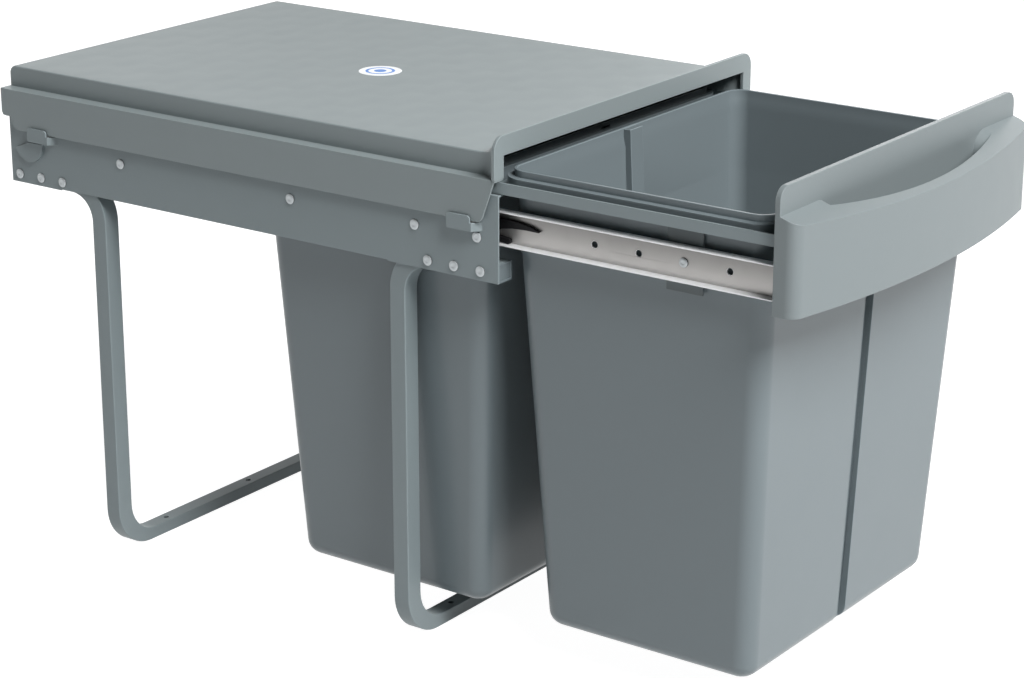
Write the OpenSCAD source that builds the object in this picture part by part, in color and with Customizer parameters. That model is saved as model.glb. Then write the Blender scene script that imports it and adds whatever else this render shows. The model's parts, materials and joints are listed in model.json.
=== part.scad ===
// Pull-out bin frame for a kitchen cabinet. Two bins hang in a carriage that runs out on
// ball slides from under a lid, and two bent tube legs stand on the cabinet floor.
// Millimetres. The front faces -Y, the floor is z = 0, and x = 0, y = 0 is the middle of
// the frame. The drawer is drawn part way out, as it stands at rest.

/* [Side panels] */
// Length of a side panel, front to back
panel_len = 482; // [470:1:560]
// Outside width across both side panels
panel_span = 334; // [300:1:400]
// Height of the panels' lower edge above the floor
panel_base = 300; // [250:1:360]
// Height of a side panel
panel_h = 64.5; // [64:0.5:80]
// Sheet thickness of a side panel
panel_t = 1.5; // [1:0.1:2]
// Width of the flange folded in along the top edge
panel_flange = 6; // [4:0.5:7]
// How far the ends reach below the middle of the panel
panel_end_drop = 1; // [0.2:0.1:2]
// Length of the deeper part at the rear end
panel_rear_drop_len = 54; // [40:1:64]

/* [Hook tabs on the panels] */
// Length of a tab's plate
tab_len = 20.5; // [12:0.5:30]
// Height of a tab's plate
tab_h = 11.3; // [8:0.1:14]
// Length of the sloping neck that joins a tab to its panel
tab_neck = 5.5; // [5:0.5:9]
// Height of the neck
tab_neck_h = 6.3; // [4:0.1:7]
// Distance from the panel's front end to the front tab's neck
tab_front_y = 15.4; // [12:0.1:30]
// Distance from the panel's rear end to the rear tab's neck
tab_rear_y = 51; // [45:0.5:64]
// Radius of the half-moon pad pressed out of the panel under the rear tab
lobe_r = 15; // [10:0.5:17]
// Height of that pad
lobe_h = 2.4; // [0.6:0.1:3]

/* [Leg frames] */
// Side to side width of a leg
leg_w = 15; // [12:0.5:20]
// Front to back depth of a leg
leg_d = 14; // [12:0.5:18]
// Wall of the leg tube
leg_wall = 1.2; // [1:0.1:2]
// Distance from the panel's end to the nearest face of the leg
leg_setback = 85; // [76:1:110]
// Inside radius of the bend under the panel
top_bend_r = 21; // [15:1:28]
// Height of the bar on the floor, where the tube is pressed flatter
floor_bar_h = 10; // [8:0.5:14]
// Inside radius of the bend at the floor
floor_bend_in = 28; // [20:1:34]
// Outside radius of the bend at the floor
floor_bend_out = 36; // [30:1:42]
// Distance from a leg's outer face to the floor screw hole beside it
floor_hole_side = 61.5; // [56:0.5:100]
// Diameter of a floor screw hole
floor_hole_d = 4.5; // [3.5:0.1:6]
// Thickness of the plug's head that closes a tube end
cap_t = 1.5; // [1:0.1:3]
// Length of the plug inside the tube
cap_plug = 4.5; // [3:0.5:6]

/* [Rivets] */
// Diameter of a rivet's head
rivet_head_d = 8; // [6:0.5:9]
// Height of a rivet's head
rivet_head_h = 1.3; // [0.8:0.1:1.8]
// Diameter of a rivet's shank
rivet_d = 4; // [3:0.1:5]
// Play around a shank in its hole
rivet_play = 0.1; // [0.05:0.01:0.2]
// Height of the formed tail inside
rivet_tail = 0.8; // [0.5:0.05:0.8]
// Distance from the panel's front end to the first leg rivet
leg_rivet_front = 15.6; // [8:0.1:18]
// Distance from the panel's rear end to the first leg rivet
leg_rivet_rear = 9.2; // [8:0.1:14]
// Spacing of the leg rivets
leg_rivet_pitch = 23.4; // [15:0.1:24]
// Height of the slide rivets above the panel's lower edge
slide_rivet_z = 31.8; // [30:0.1:36]
// Distance from the panel's front end to the first slide rivet
slide_rivet_first = 18.4; // [14:0.1:24]
// Hole pitch of the slides, which the slide rivets follow
slide_rivet_pitch = 57.25; // [50:0.05:62]

/* [Ball slides] */
// Length of the middle and drawer members
slide_len = 450; // [440:1:455]
// Distance from the panel's front end to the cabinet and middle members
slide_setback = 12; // [2:0.5:14]
// Height of the drawer member
drawer_member_h = 25.3; // [22:0.1:28]
// Sheet thickness of the cabinet and drawer members
slide_t = 1.2; // [1:0.1:1.4]
// Sheet thickness of the middle member
middle_t = 1; // [0.8:0.1:1.2]
// Diameter of a ball
ball_d = 3; // [2.5:0.1:3.5]
// Play between a ball and its races, and between the cages and the members
run_gap = 0.25; // [0.2:0.01:0.4]
// Thickness of a ball cage along the rows of balls
cage_t = 1; // [0.6:0.1:1.4]
// Thickness of a ball cage's web
cage_web = 0.4; // [0.3:0.05:0.5]
// Length of a ball cage
cage_len = 200; // [150:5:204]
// Distance from the cabinet members' front ends to the outer cages, at rest
outer_cage_at = 121; // [114:1:240]
// Distance from the middle members' front ends to the inner cages, at rest
inner_cage_at = 9; // [3:1:18]
// Number of balls in one row
balls_per_row = 8; // [4:1:10]
// Length of the rubber stop behind the middle member
bumper_len = 5; // [3:0.5:8]
// Diameter of the spare holes in the drawer member's web
web_hole_d = 5; // [3:0.5:6]
// Distance from the drawer member's front end to its first hole
web_hole_first = 42.1; // [35:0.1:50]
// Spacing of the holes in the web
web_hole_pitch = 36.3; // [30:0.1:40]

/* [Drawer position] */
// How far the drawer stands out at rest, which is also the travel of each slide stage
drawer_out = 222.6; // [200:0.1:224]
// Gap between the handle plate and the lid when the drawer is shut
shut_gap = 1; // [0.6:0.1:3]

/* [Carriage] */
// Height of the carriage ring above the top of the panels
ring_lift = 0.5; // [0.4:0.1:1]
// Height of the ring's outer wall
ring_h = 8.5; // [8:0.1:8.6]
// Sheet thickness of the ring
ring_t = 1.5; // [1:0.1:1.8]
// Play on each side between the ring and the width over the panels
ring_side_play = 3; // [2.6:0.1:3.4]
// Outer radius of the ring's rear corners
ring_r = 30; // [24:1:36]
// Outer radius of its front corners, which run into the handle plate
ring_front_r = 3; // [2:0.5:20]
// Width of a hanger bracket
hanger_w = 29; // [20:1:34]
// How far a hanger bracket reaches below the drawer member
hanger_drop = 9; // [5:0.5:9]
// Width of a hanger bracket's flange under the ring
hanger_flange = 6.5; // [5:0.1:7]
// Distance from the handle plate to the middle of the rear hanger brackets
hanger_rear = 374; // [300:1:410]
// Width of a front bracket's leg behind the handle plate
front_bracket_w = 20; // [16:1:24]
// Length of a front bracket's leg along the slide
front_bracket_len = 16; // [10:1:24]
// Distance from the drawer member's web to the handle screws
screw_side = 11; // [7:0.5:12]
// Height between the two screws of a front bracket
screw_pitch = 12; // [8:0.5:13]

/* [Release levers] */
// Length of a release lever in front of its pivot
lever_reach = 52; // [40:1:56]
// Length of a release lever behind its pivot
lever_tail = 20; // [12:1:30]
// Thickness of a release lever
lever_t = 3; // [2:0.1:3.2]
// Radius of a release lever's hub
lever_hub_r = 6; // [5:0.1:6.1]
// Diameter of the pivot pin
lever_pin_d = 3.5; // [3:0.1:4]
// Distance from the panel's front end back to the pivot
lever_pivot_y = 25; // [20:1:40]

/* [Handle] */
// How far the handle plate reaches past the panels, on each side
plate_side = 3; // [2:0.5:6]
// Height of the handle plate
handle_h = 87.7; // [84:0.1:100]
// Height of the handle plate's lower edge above the panels' lower edge
handle_low = 19.6; // [16:0.1:21]
// Thickness of the handle plate
handle_t = 4; // [3:0.1:5]
// Radius of the plate's top corners
handle_r = 10; // [6:0.5:16]
// How far the bow stands out from the plate at its middle
bow_depth = 31; // [26:0.5:38]
// Radius of the bow's front, seen from above
bow_r = 796; // [740:1:1000]
// Radius of the bow's ends, seen from above
bow_end_r = 10; // [6:0.5:11]
// Height of the bow's top where it meets the plate, above the plate's lower edge
bow_top = 68.6; // [60:0.1:72]
// Slope of the bow's top, falling to the front, in degrees
bow_slope = 19; // [10:0.5:25]
// Wall of the bow
bow_wall = 3; // [2:0.1:4]
// Distance from the handle plate's side to the finger pocket
pocket_side = 48.5; // [40:0.5:80]
// Radius of the pocket's rounded shoulders
pocket_shoulder = 16; // [8:1:20]
// Width of the rim in front of the pocket at the middle
pocket_rim = 7.5; // [6:0.5:12]
// Radius of the pocket's front wall, seen from above
pocket_r = 445; // [400:5:500]
// Height of the pocket's floor above the plate's lower edge
pocket_floor = 16; // [10:0.5:24]
// Wall around the pocket
cup_t = 2.5; // [2:0.1:3]
// Diameter of the bosses in the bow that take the screws
boss_d = 10; // [8:0.5:12]
// Length of those bosses
boss_len = 12; // [10:0.5:16]

/* [Bins] */
// Free space between a bin's lip and the ring's side wall
lip_side_play = 5; // [4.5:0.1:6]
// Depth of a bin over its rim, front to back
bin_d = 213.6; // [180:0.1:215]
// Height of a bin
bin_h = 350.7; // [300:0.1:354]
// Height of the rim above the top of the panels
rim_lift = 16.5; // [15:0.5:18]
// How much narrower a bin is at its foot, on each side
bin_taper = 20.4; // [14:0.1:26]
// The same for the front and rear walls, as a share of the taper at the sides
bin_taper_share = 0.907; // [0.5:0.001:1]
// How much narrower a bin is under its lip than at its rim, on each side
bin_neck = 2.2; // [2:0.1:4]
// Corner radius of a bin
bin_r = 14; // [10:1:24]
// Radius around the bin's foot
bin_foot_r = 11; // [6:1:13]
// Wall of a bin
bin_wall = 2.2; // [1.8:0.1:2.4]
// Width of the lip that hangs on the ring
lip_w = 4.8; // [4.2:0.1:4.9]
// Height of the collar above the lip
collar_h = 5; // [4:0.1:6]
// Thickness of the lip
lip_t = 1.8; // [1.4:0.1:2]
// Width of the groove down the front and rear walls
groove_w = 12; // [8:1:20]
// Depth of that groove
groove_d = 5; // [3:0.5:6]
// Distance from the rim to the top of the groove
groove_top = 3; // [2.5:0.1:4]
// Distance from the rim to the step in the bin's wall
step_down = 62; // [40:1:80]
// Depth of that step
step_d = 0.8; // [0.4:0.1:1.2]
// Free space between the front bin's lip and the ring's front wall
lip_play = 6.9; // [1:0.1:8]
// Free space between the lips of the two bins
bin_gap = 9.4; // [4:0.1:12]

/* [Lid] */
// Height of the lid's top above the top of the panels
lid_rise = 28.1; // [26:0.1:36]
// Distance from the panels' outer faces in to the lid's raised top, at the rear
lid_side_inset = 6.8; // [5:0.1:8]
// How much wider the raised top gets towards the front, on each side
lid_spread = 1.5; // [0:0.1:2]
// Wall of the lid
lid_wall = 1.8; // [1.5:0.1:1.9]
// Radius along the lid's top side edges
lid_r = 1.2; // [0.8:0.1:6]
// Radius along the lid's top rear edge
lid_rear_r = 6; // [4:0.5:9]
// Distance from the rear skirt's face forward to the lid's raised rear wall
lid_rear_set = 0.5; // [0.3:0.1:8]
// Height of the side strip above the top of the panels
strip_rise = 11.7; // [11.5:0.1:13]
// Thickness of the strip and the skirts
skirt_t = 1.5; // [1.2:0.1:2]
// Distance from the panels' outer faces out to the skirts' outer faces
skirt_side = 4; // [3.5:0.1:6]
// Depth of the side skirts
skirt_h = 32.2; // [28:0.1:33]
// Depth of the skirt across the rear
rear_skirt_h = 22.2; // [16:0.1:26]
// How far the rear skirt stands behind the panels
rear_skirt_out = 4; // [2.5:0.5:6]
// Thickness of the portal's face
portal_t = 2.5; // [2:0.1:4]
// Height of the portal's top above the lid's top
portal_rise = 14.4; // [8:0.1:20]
// Outer corner radius of the portal
portal_r = 11; // [6:0.5:16]
// Distance from the panels' outer faces in to the portal's opening
portal_side = 7; // [6:0.5:8.5]
// Length over which the lid's top sweeps up to the portal
sweep_top = 18; // [12:1:60]
// Length over which the lid's sides sweep out to the portal
sweep_side = 16; // [10:1:80]
// Distance from the panels' ends to the first and the last seat rib
rib_end = 40; // [30:1:60]
// Number of seat ribs on each side
rib_count = 8; // [4:1:12]
// Diameter of the round label
label_d = 34; // [20:1:50]
// Thickness of the label
label_t = 0.3; // [0.2:0.05:0.5]
// Where the label's middle lies, to the right and to the rear of the frame's middle
label_at = [-5, -8]; // [-60:1:60]

/* [Hidden] */

$fn = 32;
lap = 0.02; // overlap that joins two shapes of one solid, or that a cut runs past a face
fine = 48; // segments of a rivet, pin or hole
large = 720; // segments of a very large circle

// Frame
front_y = -panel_len / 2;
rear_y = panel_len / 2;
panel_out = panel_span / 2;
panel_in = panel_out - panel_t;
panel_top = panel_base + panel_h;
leg_out = panel_in;
leg_in = leg_out - leg_w;
run_top = panel_base + leg_d;
top_bend_out = top_bend_r + leg_d;
bend_len = leg_setback + leg_d - top_bend_out; // straight run from the panel's end
leg_rivet_h = panel_base + leg_d / 2;
leg_mid_y = front_y + leg_setback + leg_d / 2;
rivet_hole_d = rivet_d + 2 * rivet_play;

// Slides: depths are measured inward from the panel's inner face
cab_open = 11.5; // depth of the cabinet member
mid_web = slide_t + rivet_tail + cage_web + 2.4 * run_gap; // outer face of the middle web
mid_web_in = mid_web + slide_t;
cage_web_at = slide_t + rivet_tail + 1.2 * run_gap;
drw_edge = mid_web_in + cage_web + 2.4 * run_gap; // free edges of the drawer member
inner_web_at = mid_web_in + 1.2 * run_gap;
drw_web = cab_open;
drw_back = drw_web + slide_t;
ball_r = ball_d / 2;
inner_row = drawer_member_h / 2 + run_gap + ball_r; // height of a ball row above the axis
mid_flange_in = inner_row + ball_r + run_gap;
mid_flange_out = mid_flange_in + middle_t;
outer_row = mid_flange_out + run_gap + ball_r;
cab_flange_in = outer_row + ball_r + run_gap;
cab_h = cab_flange_in + slide_t; // half the cabinet member's height
slide_z = run_top + 3 + cab_h;
outer_ball_at = 7.5; // depth of the outer rows of balls
inner_ball_at = 8;
slide_front = front_y + slide_setback;
slide_rear = slide_front + slide_len;
cab_len = slide_len + bumper_len + 1;
outer_cage_y = slide_front + outer_cage_at;
inner_cage_y = slide_front + inner_cage_at;

// Carriage
handle_back = front_y - shut_gap - drawer_out; // rear face of the handle plate
handle_front_y = handle_back - handle_t;
ring_z = panel_top + ring_lift;
ledge_z = ring_z + ring_t;
ring_hw = panel_out - ring_side_play;
bin_w = 2 * (ring_hw - ring_t - lip_side_play - lip_w); // over the rim
rim_z = panel_top + rim_lift;
lip_top = rim_z - collar_h;
front_bin_y = handle_back + ring_t + lip_play + lip_w + bin_d / 2;
rear_bin_y = front_bin_y + bin_d + 2 * lip_w + bin_gap;
ring_rear = rear_bin_y + bin_d / 2 + lip_w + lip_play + ring_t;
ring_mid_y = (handle_back + ring_rear) / 2;
bin_foot = rim_z - bin_h;
web_in_x = panel_in - drw_back; // inner face of the drawer member's web
hanger_y = handle_back + web_hole_first + web_hole_pitch;
hanger_low = slide_z - drawer_member_h / 2 - hanger_drop;
handle_z = panel_base + handle_low;
handle_w = panel_span + 2 * plate_side;
pocket_w = handle_w - 2 * pocket_side;

// Lid
lid_top = panel_top + lid_rise;
strip_top = panel_top + strip_rise;
strip_low = strip_top - lid_wall;
skirt_out = panel_out + skirt_side;
skirt_in = skirt_out - skirt_t;
rear_skirt_y = rear_y + rear_skirt_out;
lid_rear = rear_skirt_y - lid_rear_set;
lid_hw = panel_out - lid_side_inset; // half the raised top's width at the rear
portal_in = panel_out - portal_side; // half the width of the portal's opening
portal_hw = skirt_out + 0.5;
portal_top = lid_top + portal_rise;

// Outline of a rectangle with round corners, counterclockwise
function corner(cx, cy, r, from, n) =
  [for (i = [0:n]) [cx + r * cos(from + 90 * i / n), cy + r * sin(from + 90 * i / n)]];
function round_rect(hx, hy, r, n = 8) = concat(
  corner(hx - r, hy - r, r, 0, n), corner(r - hx, hy - r, r, 90, n),
  corner(r - hx, r - hy, r, 180, n), corner(hx - r, r - hy, r, 270, n));
function raise(ring, z) = [for (p = ring) [p.x, p.y, z]];

// Solid through a stack of outlines with equal point counts, from the first to the last
module loft(rings) {
  n = len(rings[0]);
  m = len(rings);
  polyhedron(
    points = [for (r = rings) each r],
    faces = concat(
      [[for (i = [0:n - 1]) i]],
      [[for (i = [n - 1:-1:0]) (m - 1) * n + i]],
      [for (k = [0:m - 2]) for (i = [0:n - 1]) [k * n + i, (k + 1) * n + i, (k + 1) * n + (i + 1) % n]],
      [for (k = [0:m - 2]) for (i = [0:n - 1]) [k * n + i, (k + 1) * n + (i + 1) % n, k * n + (i + 1) % n]]
    ), convexity = 6);
}

// A flat sheet standing in a plane of constant x, drawn in y and z
module sheet_x(x, t) {
  translate([x, 0, 0]) rotate([90, 0, 90]) linear_extrude(t) children();
}

// A bar that runs front to back, its section drawn in x and z
module bar_y(y, length) {
  translate([0, y + length, 0]) rotate([90, 0, 0]) linear_extrude(length) children();
}

module on_side(side) {
  mirror([side < 0 ? 1 : 0, 0, 0]) children();
}

module both_sides() {
  for (side = [-1, 1]) on_side(side) children();
}

// A round bar along x, from x to x + length
module pin_x(x, y, z, d, length) {
  translate([x, y, z]) rotate([0, 90, 0]) cylinder(d = d, h = length, $fn = fine);
}

function leg_rivets_at() = concat(
  [for (i = [0:2]) front_y + leg_rivet_front + i * leg_rivet_pitch],
  [for (i = [0:2]) rear_y - leg_rivet_rear - i * leg_rivet_pitch]);
function slide_rivets_at() =
  [for (i = [0, 0.97, 3, 6]) front_y + slide_rivet_first + i * slide_rivet_pitch];
slide_rivet_h = panel_base + slide_rivet_z;

// Domed head, seen from outside the panel, with its underside at x
module rivet_head(x, y, z, d = rivet_head_d) {
  translate([x, y, z]) rotate([0, 90, 0]) {
    cylinder(d = d, h = rivet_head_h * 0.45, $fn = fine);
    translate([0, 0, rivet_head_h * 0.45])
      cylinder(d1 = d, d2 = d * 0.55, h = rivet_head_h * 0.55, $fn = fine);
  }
}

// Side panels

// Tabs hang outside the lid's skirt on necks that slope out of the panel
tab_out = skirt_out + 0.5;
tab_z = strip_top - skirt_h - tab_h * 0.65;
tab_front = front_y + tab_front_y;
tab_rear = rear_y - tab_rear_y;

module tab(y) {
  translate([0, y, tab_z]) {
    linear_extrude(tab_neck_h) polygon([
      [panel_in + 0.3, 0], [panel_out, -panel_t], [tab_out + panel_t, tab_neck - panel_t],
      [tab_out + panel_t, tab_neck + lap], [tab_out, tab_neck + lap], [panel_in + 0.3, panel_t]]);
    sheet_x(tab_out, panel_t) tab_plate();
  }
}

// Plate of a tab, with its two upper corners rounded
module tab_plate() {
  r = 2.5;
  polygon(concat(
    [[tab_neck, 0], [tab_neck + tab_len, 0]],
    corner(tab_neck + tab_len - r, tab_h - r, r, 0, 4),
    corner(tab_neck + r, tab_h - r, r, 90, 4)));
}

// Half-moon pad below the rear tab's plate, with its outer end sloped off
module lobe() {
  y = tab_rear + tab_neck + tab_len + 2.6;
  z = tab_z - 2.8;
  difference() {
    translate([y, z]) circle(r = lobe_r, $fn = fine);
    translate([y - 2 * lobe_r, z + 1.2]) square([4 * lobe_r, 2 * lobe_r]);
    translate([y + 3, z - 0.3]) polygon([
      [0, 0], [2 * lobe_r, -0.84 * lobe_r], [2 * lobe_r, lobe_r], [0, lobe_r]]);
  }
}

module panel_outline() {
  foot = panel_base + panel_end_drop;
  polygon([
    [front_y, panel_base], [front_y + leg_setback + leg_d, panel_base],
    [front_y + leg_setback + leg_d + 1, foot], [rear_y - panel_rear_drop_len - 1, foot],
    [rear_y - panel_rear_drop_len, panel_base], [rear_y, panel_base],
    [rear_y, panel_top], [front_y, panel_top]]);
}

// Window that a tab is cut from
module tab_window(y) {
  translate([y + panel_t, tab_z]) square([tab_neck + tab_len - panel_t, tab_h]);
}

module side_panel(side) {
  on_side(side) {
    sheet_x(panel_in, panel_t) difference() {
      panel_outline();
      for (y = leg_rivets_at()) translate([y, leg_rivet_h]) circle(d = rivet_hole_d, $fn = fine);
      for (y = slide_rivets_at()) translate([y, slide_rivet_h]) circle(d = rivet_hole_d, $fn = fine);
      tab_window(tab_front);
      tab_window(tab_rear);
    }
    translate([panel_out - panel_flange, front_y, panel_top - panel_t])
      cube([panel_flange - lap, panel_len, panel_t]);
    tab(tab_front);
    tab(tab_rear);
    sheet_x(panel_out - lap, lobe_h + lap) lobe();
  }
}

module side_panel_left() { color([0.40, 0.44, 0.45]) side_panel(-1); }
module side_panel_right() { color([0.40, 0.44, 0.45]) side_panel(1); }

// Leg frames

// Rectangle that stands on z = low, with its two lower corners rounded
module cradle(hw, low, r, top) {
  translate([-hw, low + r]) square([2 * hw, top - low - r]);
  translate([r - hw, low]) square([2 * (hw - r), r + lap]);
  for (s = [-1, 1]) translate([s * (hw - r), low + r]) circle(r = r, $fn = 96);
}

// The U that stands on the floor; grow is negative for the bore of the tube
module leg_u(grow, top) {
  difference() {
    cradle(leg_out + grow, -grow, floor_bend_out + grow, top);
    cradle(leg_in - grow, floor_bar_h + grow, floor_bend_in - grow, top + 2 * lap);
  }
}

// Everything that one leg frame's tube fills, or its bore where grow is negative
module leg_shape(grow) {
  bend_z = run_top - top_bend_out;
  depth = leg_d + 2 * grow;
  inner_r = top_bend_r - grow;
  leg_y = front_y + leg_setback - grow;
  bend_y = front_y + bend_len;
  run_front = front_y + cap_t - (grow < 0 ? 1 : 0);
  bar_y(leg_y, depth) leg_u(grow, bend_z);
  both_sides() {
    translate([leg_in - grow, bend_y, bend_z]) rotate([90, 0, 90])
      rotate_extrude(angle = 90, $fn = 96)
        translate([inner_r, 0]) square([depth, leg_w + 2 * grow]);
    translate([leg_in - grow, run_front, panel_base - grow])
      cube([leg_w + 2 * grow, bend_y - run_front, depth]);
  }
}

module leg_frame(dir) {
  mirror([0, dir < 0 ? 0 : 1, 0]) difference() {
    leg_shape(0);
    leg_shape(-leg_wall);
    for (x = [floor_hole_side - leg_out, 0, leg_out - floor_hole_side])
      translate([x, leg_mid_y, -1]) cylinder(d = floor_hole_d, h = floor_bar_h + 2, $fn = fine);
    both_sides() leg_rivet_holes(dir);
  }
}

// Holes through the outer wall of the tube's run, drawn in the front frame's place
module leg_rivet_holes(dir) {
  first = dir < 0 ? leg_rivet_front : leg_rivet_rear;
  for (i = [0:2])
    pin_x(leg_out - leg_wall - 1, front_y + first + i * leg_rivet_pitch, leg_rivet_h,
      rivet_hole_d, leg_wall + 2);
}

module front_leg_frame() { color([0.42, 0.46, 0.47]) leg_frame(-1); }
module rear_leg_frame() { color([0.42, 0.46, 0.47]) leg_frame(1); }

// Plugs that close the four tube ends flush with the panels' ends
module tube_end_caps() {
  play = 0.15;
  // the plug ends short of the tail of the first rivet
  plug = min(cap_plug, min(leg_rivet_front, leg_rivet_rear) - rivet_d / 2 - 1.2 - cap_t);
  plug_w = leg_w - 2 * (leg_wall + play);
  plug_d = leg_d - 2 * (leg_wall + play);
  color([0.45, 0.49, 0.50])
    for (s = [0, 1]) mirror([0, s, 0]) both_sides() {
      translate([leg_in, front_y, panel_base]) cube([leg_w, cap_t, leg_d]);
      translate([leg_in + leg_wall + play, front_y + cap_t - lap, panel_base + leg_wall + play])
        cube([plug_w, plug, plug_d]);
    }
}

module leg_rivets() {
  color([0.78, 0.79, 0.79]) both_sides() for (y = leg_rivets_at()) {
    rivet_head(panel_out, y, leg_rivet_h);
    pin_x(leg_out - leg_wall - lap, y, leg_rivet_h, rivet_d, panel_t + leg_wall + 2 * lap);
    pin_x(leg_out - leg_wall - 1.5, y, leg_rivet_h, rivet_d + 1.6, 1.5);
  }
}

module slide_rivets() {
  color([0.78, 0.79, 0.79]) both_sides() for (y = slide_rivets_at()) {
    rivet_head(panel_out, y, slide_rivet_h);
    pin_x(panel_in - slide_t - lap, y, slide_rivet_h, rivet_d, panel_t + slide_t + 2 * lap);
    pin_x(panel_in - slide_t - rivet_tail, y, slide_rivet_h, rivet_d + 1.6, rivet_tail);
  }
}

// Ball slides

// Channel that opens inward or outward: flanges from depth a to depth b, web at the web side
module channel(edge, web, web_t, half_in, half_out, lip = 0) {
  near = min(edge, web);
  far = max(edge, web + web_t);
  wall = half_out - half_in;
  for (low = [-half_out, half_in]) translate([near, low]) square([far - near, wall]);
  translate([web, -half_out]) square([web_t, 2 * half_out]);
  if (lip > 0) for (low = [-half_out, half_in - lip])
    translate([edge - wall, low]) square([wall, wall + lip]);
}

// Places a slide section: its x is the depth inward from the right panel, its y the height
module slide_bar(side, y, length) {
  on_side(side) translate([panel_in, 0, slide_z]) mirror([1, 0, 0]) bar_y(y, length) children();
}

module cabinet_member(side) {
  difference() {
    slide_bar(side, slide_front, cab_len)
      channel(cab_open, 0, slide_t, cab_flange_in, cab_h, 1.2);
    on_side(side) for (y = slide_rivets_at())
      pin_x(panel_in - slide_t - 1, y, slide_rivet_h, rivet_hole_d, slide_t + 2);
  }
}

module slide_cabinet_member_left() { color([0.70, 0.69, 0.68]) cabinet_member(-1); }
module slide_cabinet_member_right() { color([0.70, 0.69, 0.68]) cabinet_member(1); }

// Rubber stops in the rear ends of the cabinet members
module slide_bumpers() {
  color([0.08, 0.08, 0.08]) for (side = [-1, 1])
    slide_bar(side, slide_rear + 0.4, bumper_len)
      translate([slide_t, -inner_row]) square([cab_open - slide_t - 1, 2 * inner_row]);
}

module middle_member(side) {
  slide_bar(side, slide_front, slide_len)
    channel(cab_open - 0.7, mid_web, slide_t, mid_flange_in, mid_flange_out);
}

module slide_middle_member_left() { color([0.72, 0.71, 0.70]) middle_member(-1); }
module slide_middle_member_right() { color([0.72, 0.71, 0.70]) middle_member(1); }

// A cage is a channel with one round pocket for each ball
module ball_cage(side, y, web_at, ball_at, row) {
  pitch = cage_len / balls_per_row;
  difference() {
    slide_bar(side, y, cage_len)
      channel(ball_at + ball_r + 0.9, web_at, cage_web, row - cage_t / 2, row + cage_t / 2);
    on_side(side) for (i = [0:balls_per_row - 1]) for (s = [-1, 1])
      translate([panel_in - ball_at, y + (i + 0.5) * pitch, slide_z + s * row - cage_t])
        cylinder(d = ball_d + 2 * 0.15, h = 2 * cage_t, $fn = fine);
  }
}

module balls(y, ball_at, row) {
  pitch = cage_len / balls_per_row;
  both_sides() for (i = [0:balls_per_row - 1]) for (s = [-1, 1])
    translate([panel_in - ball_at, y + (i + 0.5) * pitch, slide_z + s * row]) sphere(d = ball_d, $fn = 24);
}

module outer_cage(side) { ball_cage(side, outer_cage_y, cage_web_at, outer_ball_at, outer_row); }
module inner_cage(side) { ball_cage(side, inner_cage_y, inner_web_at, inner_ball_at, inner_row); }
module outer_ball_cage_left() { color([0.60, 0.60, 0.58]) outer_cage(-1); }
module outer_ball_cage_right() { color([0.60, 0.60, 0.58]) outer_cage(1); }
module outer_balls() { color([0.85, 0.85, 0.86]) balls(outer_cage_y, outer_ball_at, outer_row); }
module inner_ball_cage_left() { color([0.60, 0.60, 0.58]) inner_cage(-1); }
module inner_ball_cage_right() { color([0.60, 0.60, 0.58]) inner_cage(1); }
module inner_balls() { color([0.85, 0.85, 0.86]) balls(inner_cage_y, inner_ball_at, inner_row); }

lever_y = front_y + lever_pivot_y;
lever_z = slide_z - lever_hub_r / 2;
lever_at = drw_web - run_gap - lever_t; // depth of the lever's outer face

module drawer_member(side) {
  difference() {
    slide_bar(side, handle_back, slide_len)
      channel(drw_edge, drw_web, slide_t, drawer_member_h / 2 - slide_t, drawer_member_h / 2);
    on_side(side) {
      for (i = [0, 2, 3])
        pin_x(web_in_x - 1, handle_back + web_hole_first + i * web_hole_pitch, slide_z, web_hole_d, 3);
      for (y = [hanger_y, handle_back + hanger_rear])
        pin_x(web_in_x - 1, y, slide_z, rivet_hole_d, 3);
      pin_x(web_in_x - 1, lever_y, lever_z, lever_pin_d + 2 * rivet_play, 3);
    }
  }
}

module slide_drawer_member_left() { color([0.74, 0.73, 0.71]) drawer_member(-1); }
module slide_drawer_member_right() { color([0.74, 0.73, 0.71]) drawer_member(1); }

// Release levers: an arched tongue above a short finger, on one hub. Both outlines are
// in shares of the lever's reach, to the front, and of the hub's radius, upwards.
lever_tongue = [
  [0, 1], [-0.23, 1.43], [-0.46, 1.57], [-0.65, 1.5], [-0.85, 1.23], [-1, 0.8],
  [-1.01, 0.67], [-0.81, 0.7], [-0.58, 0.6], [-0.42, 0.37], [-0.23, -0.17], [0, -0.33]];
lever_finger = [[0, 0], [-0.19, -0.43], [-0.5, -0.67], [-0.5, -1.37], [0, -0.98]];
function lever_shape(shares) = [for (p = shares) [p.x * lever_reach, p.y * lever_hub_r]];

module lever_outline() {
  tail_r = 0.57 * lever_hub_r;
  difference() {
    union() {
      circle(r = lever_hub_r, $fn = fine);
      polygon(lever_shape(lever_tongue));
      polygon(lever_shape(lever_finger));
      translate([-0.5 * lever_reach, -1.02 * lever_hub_r]) circle(r = 0.35 * lever_hub_r, $fn = fine);
      translate([0, -tail_r]) square([lever_tail, 2 * tail_r]);
      translate([lever_tail, 0]) circle(r = tail_r, $fn = fine);
    }
    circle(d = lever_pin_d + 2 * rivet_play, $fn = fine);
  }
}

module release_lever(side) {
  on_side(side) translate([panel_in - lever_at - lever_t, lever_y, lever_z])
    rotate([90, 0, 90]) linear_extrude(lever_t) lever_outline();
}

module release_lever_left() { color([0.05, 0.05, 0.05]) release_lever(-1); }
module release_lever_right() { color([0.05, 0.05, 0.05]) release_lever(1); }

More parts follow.
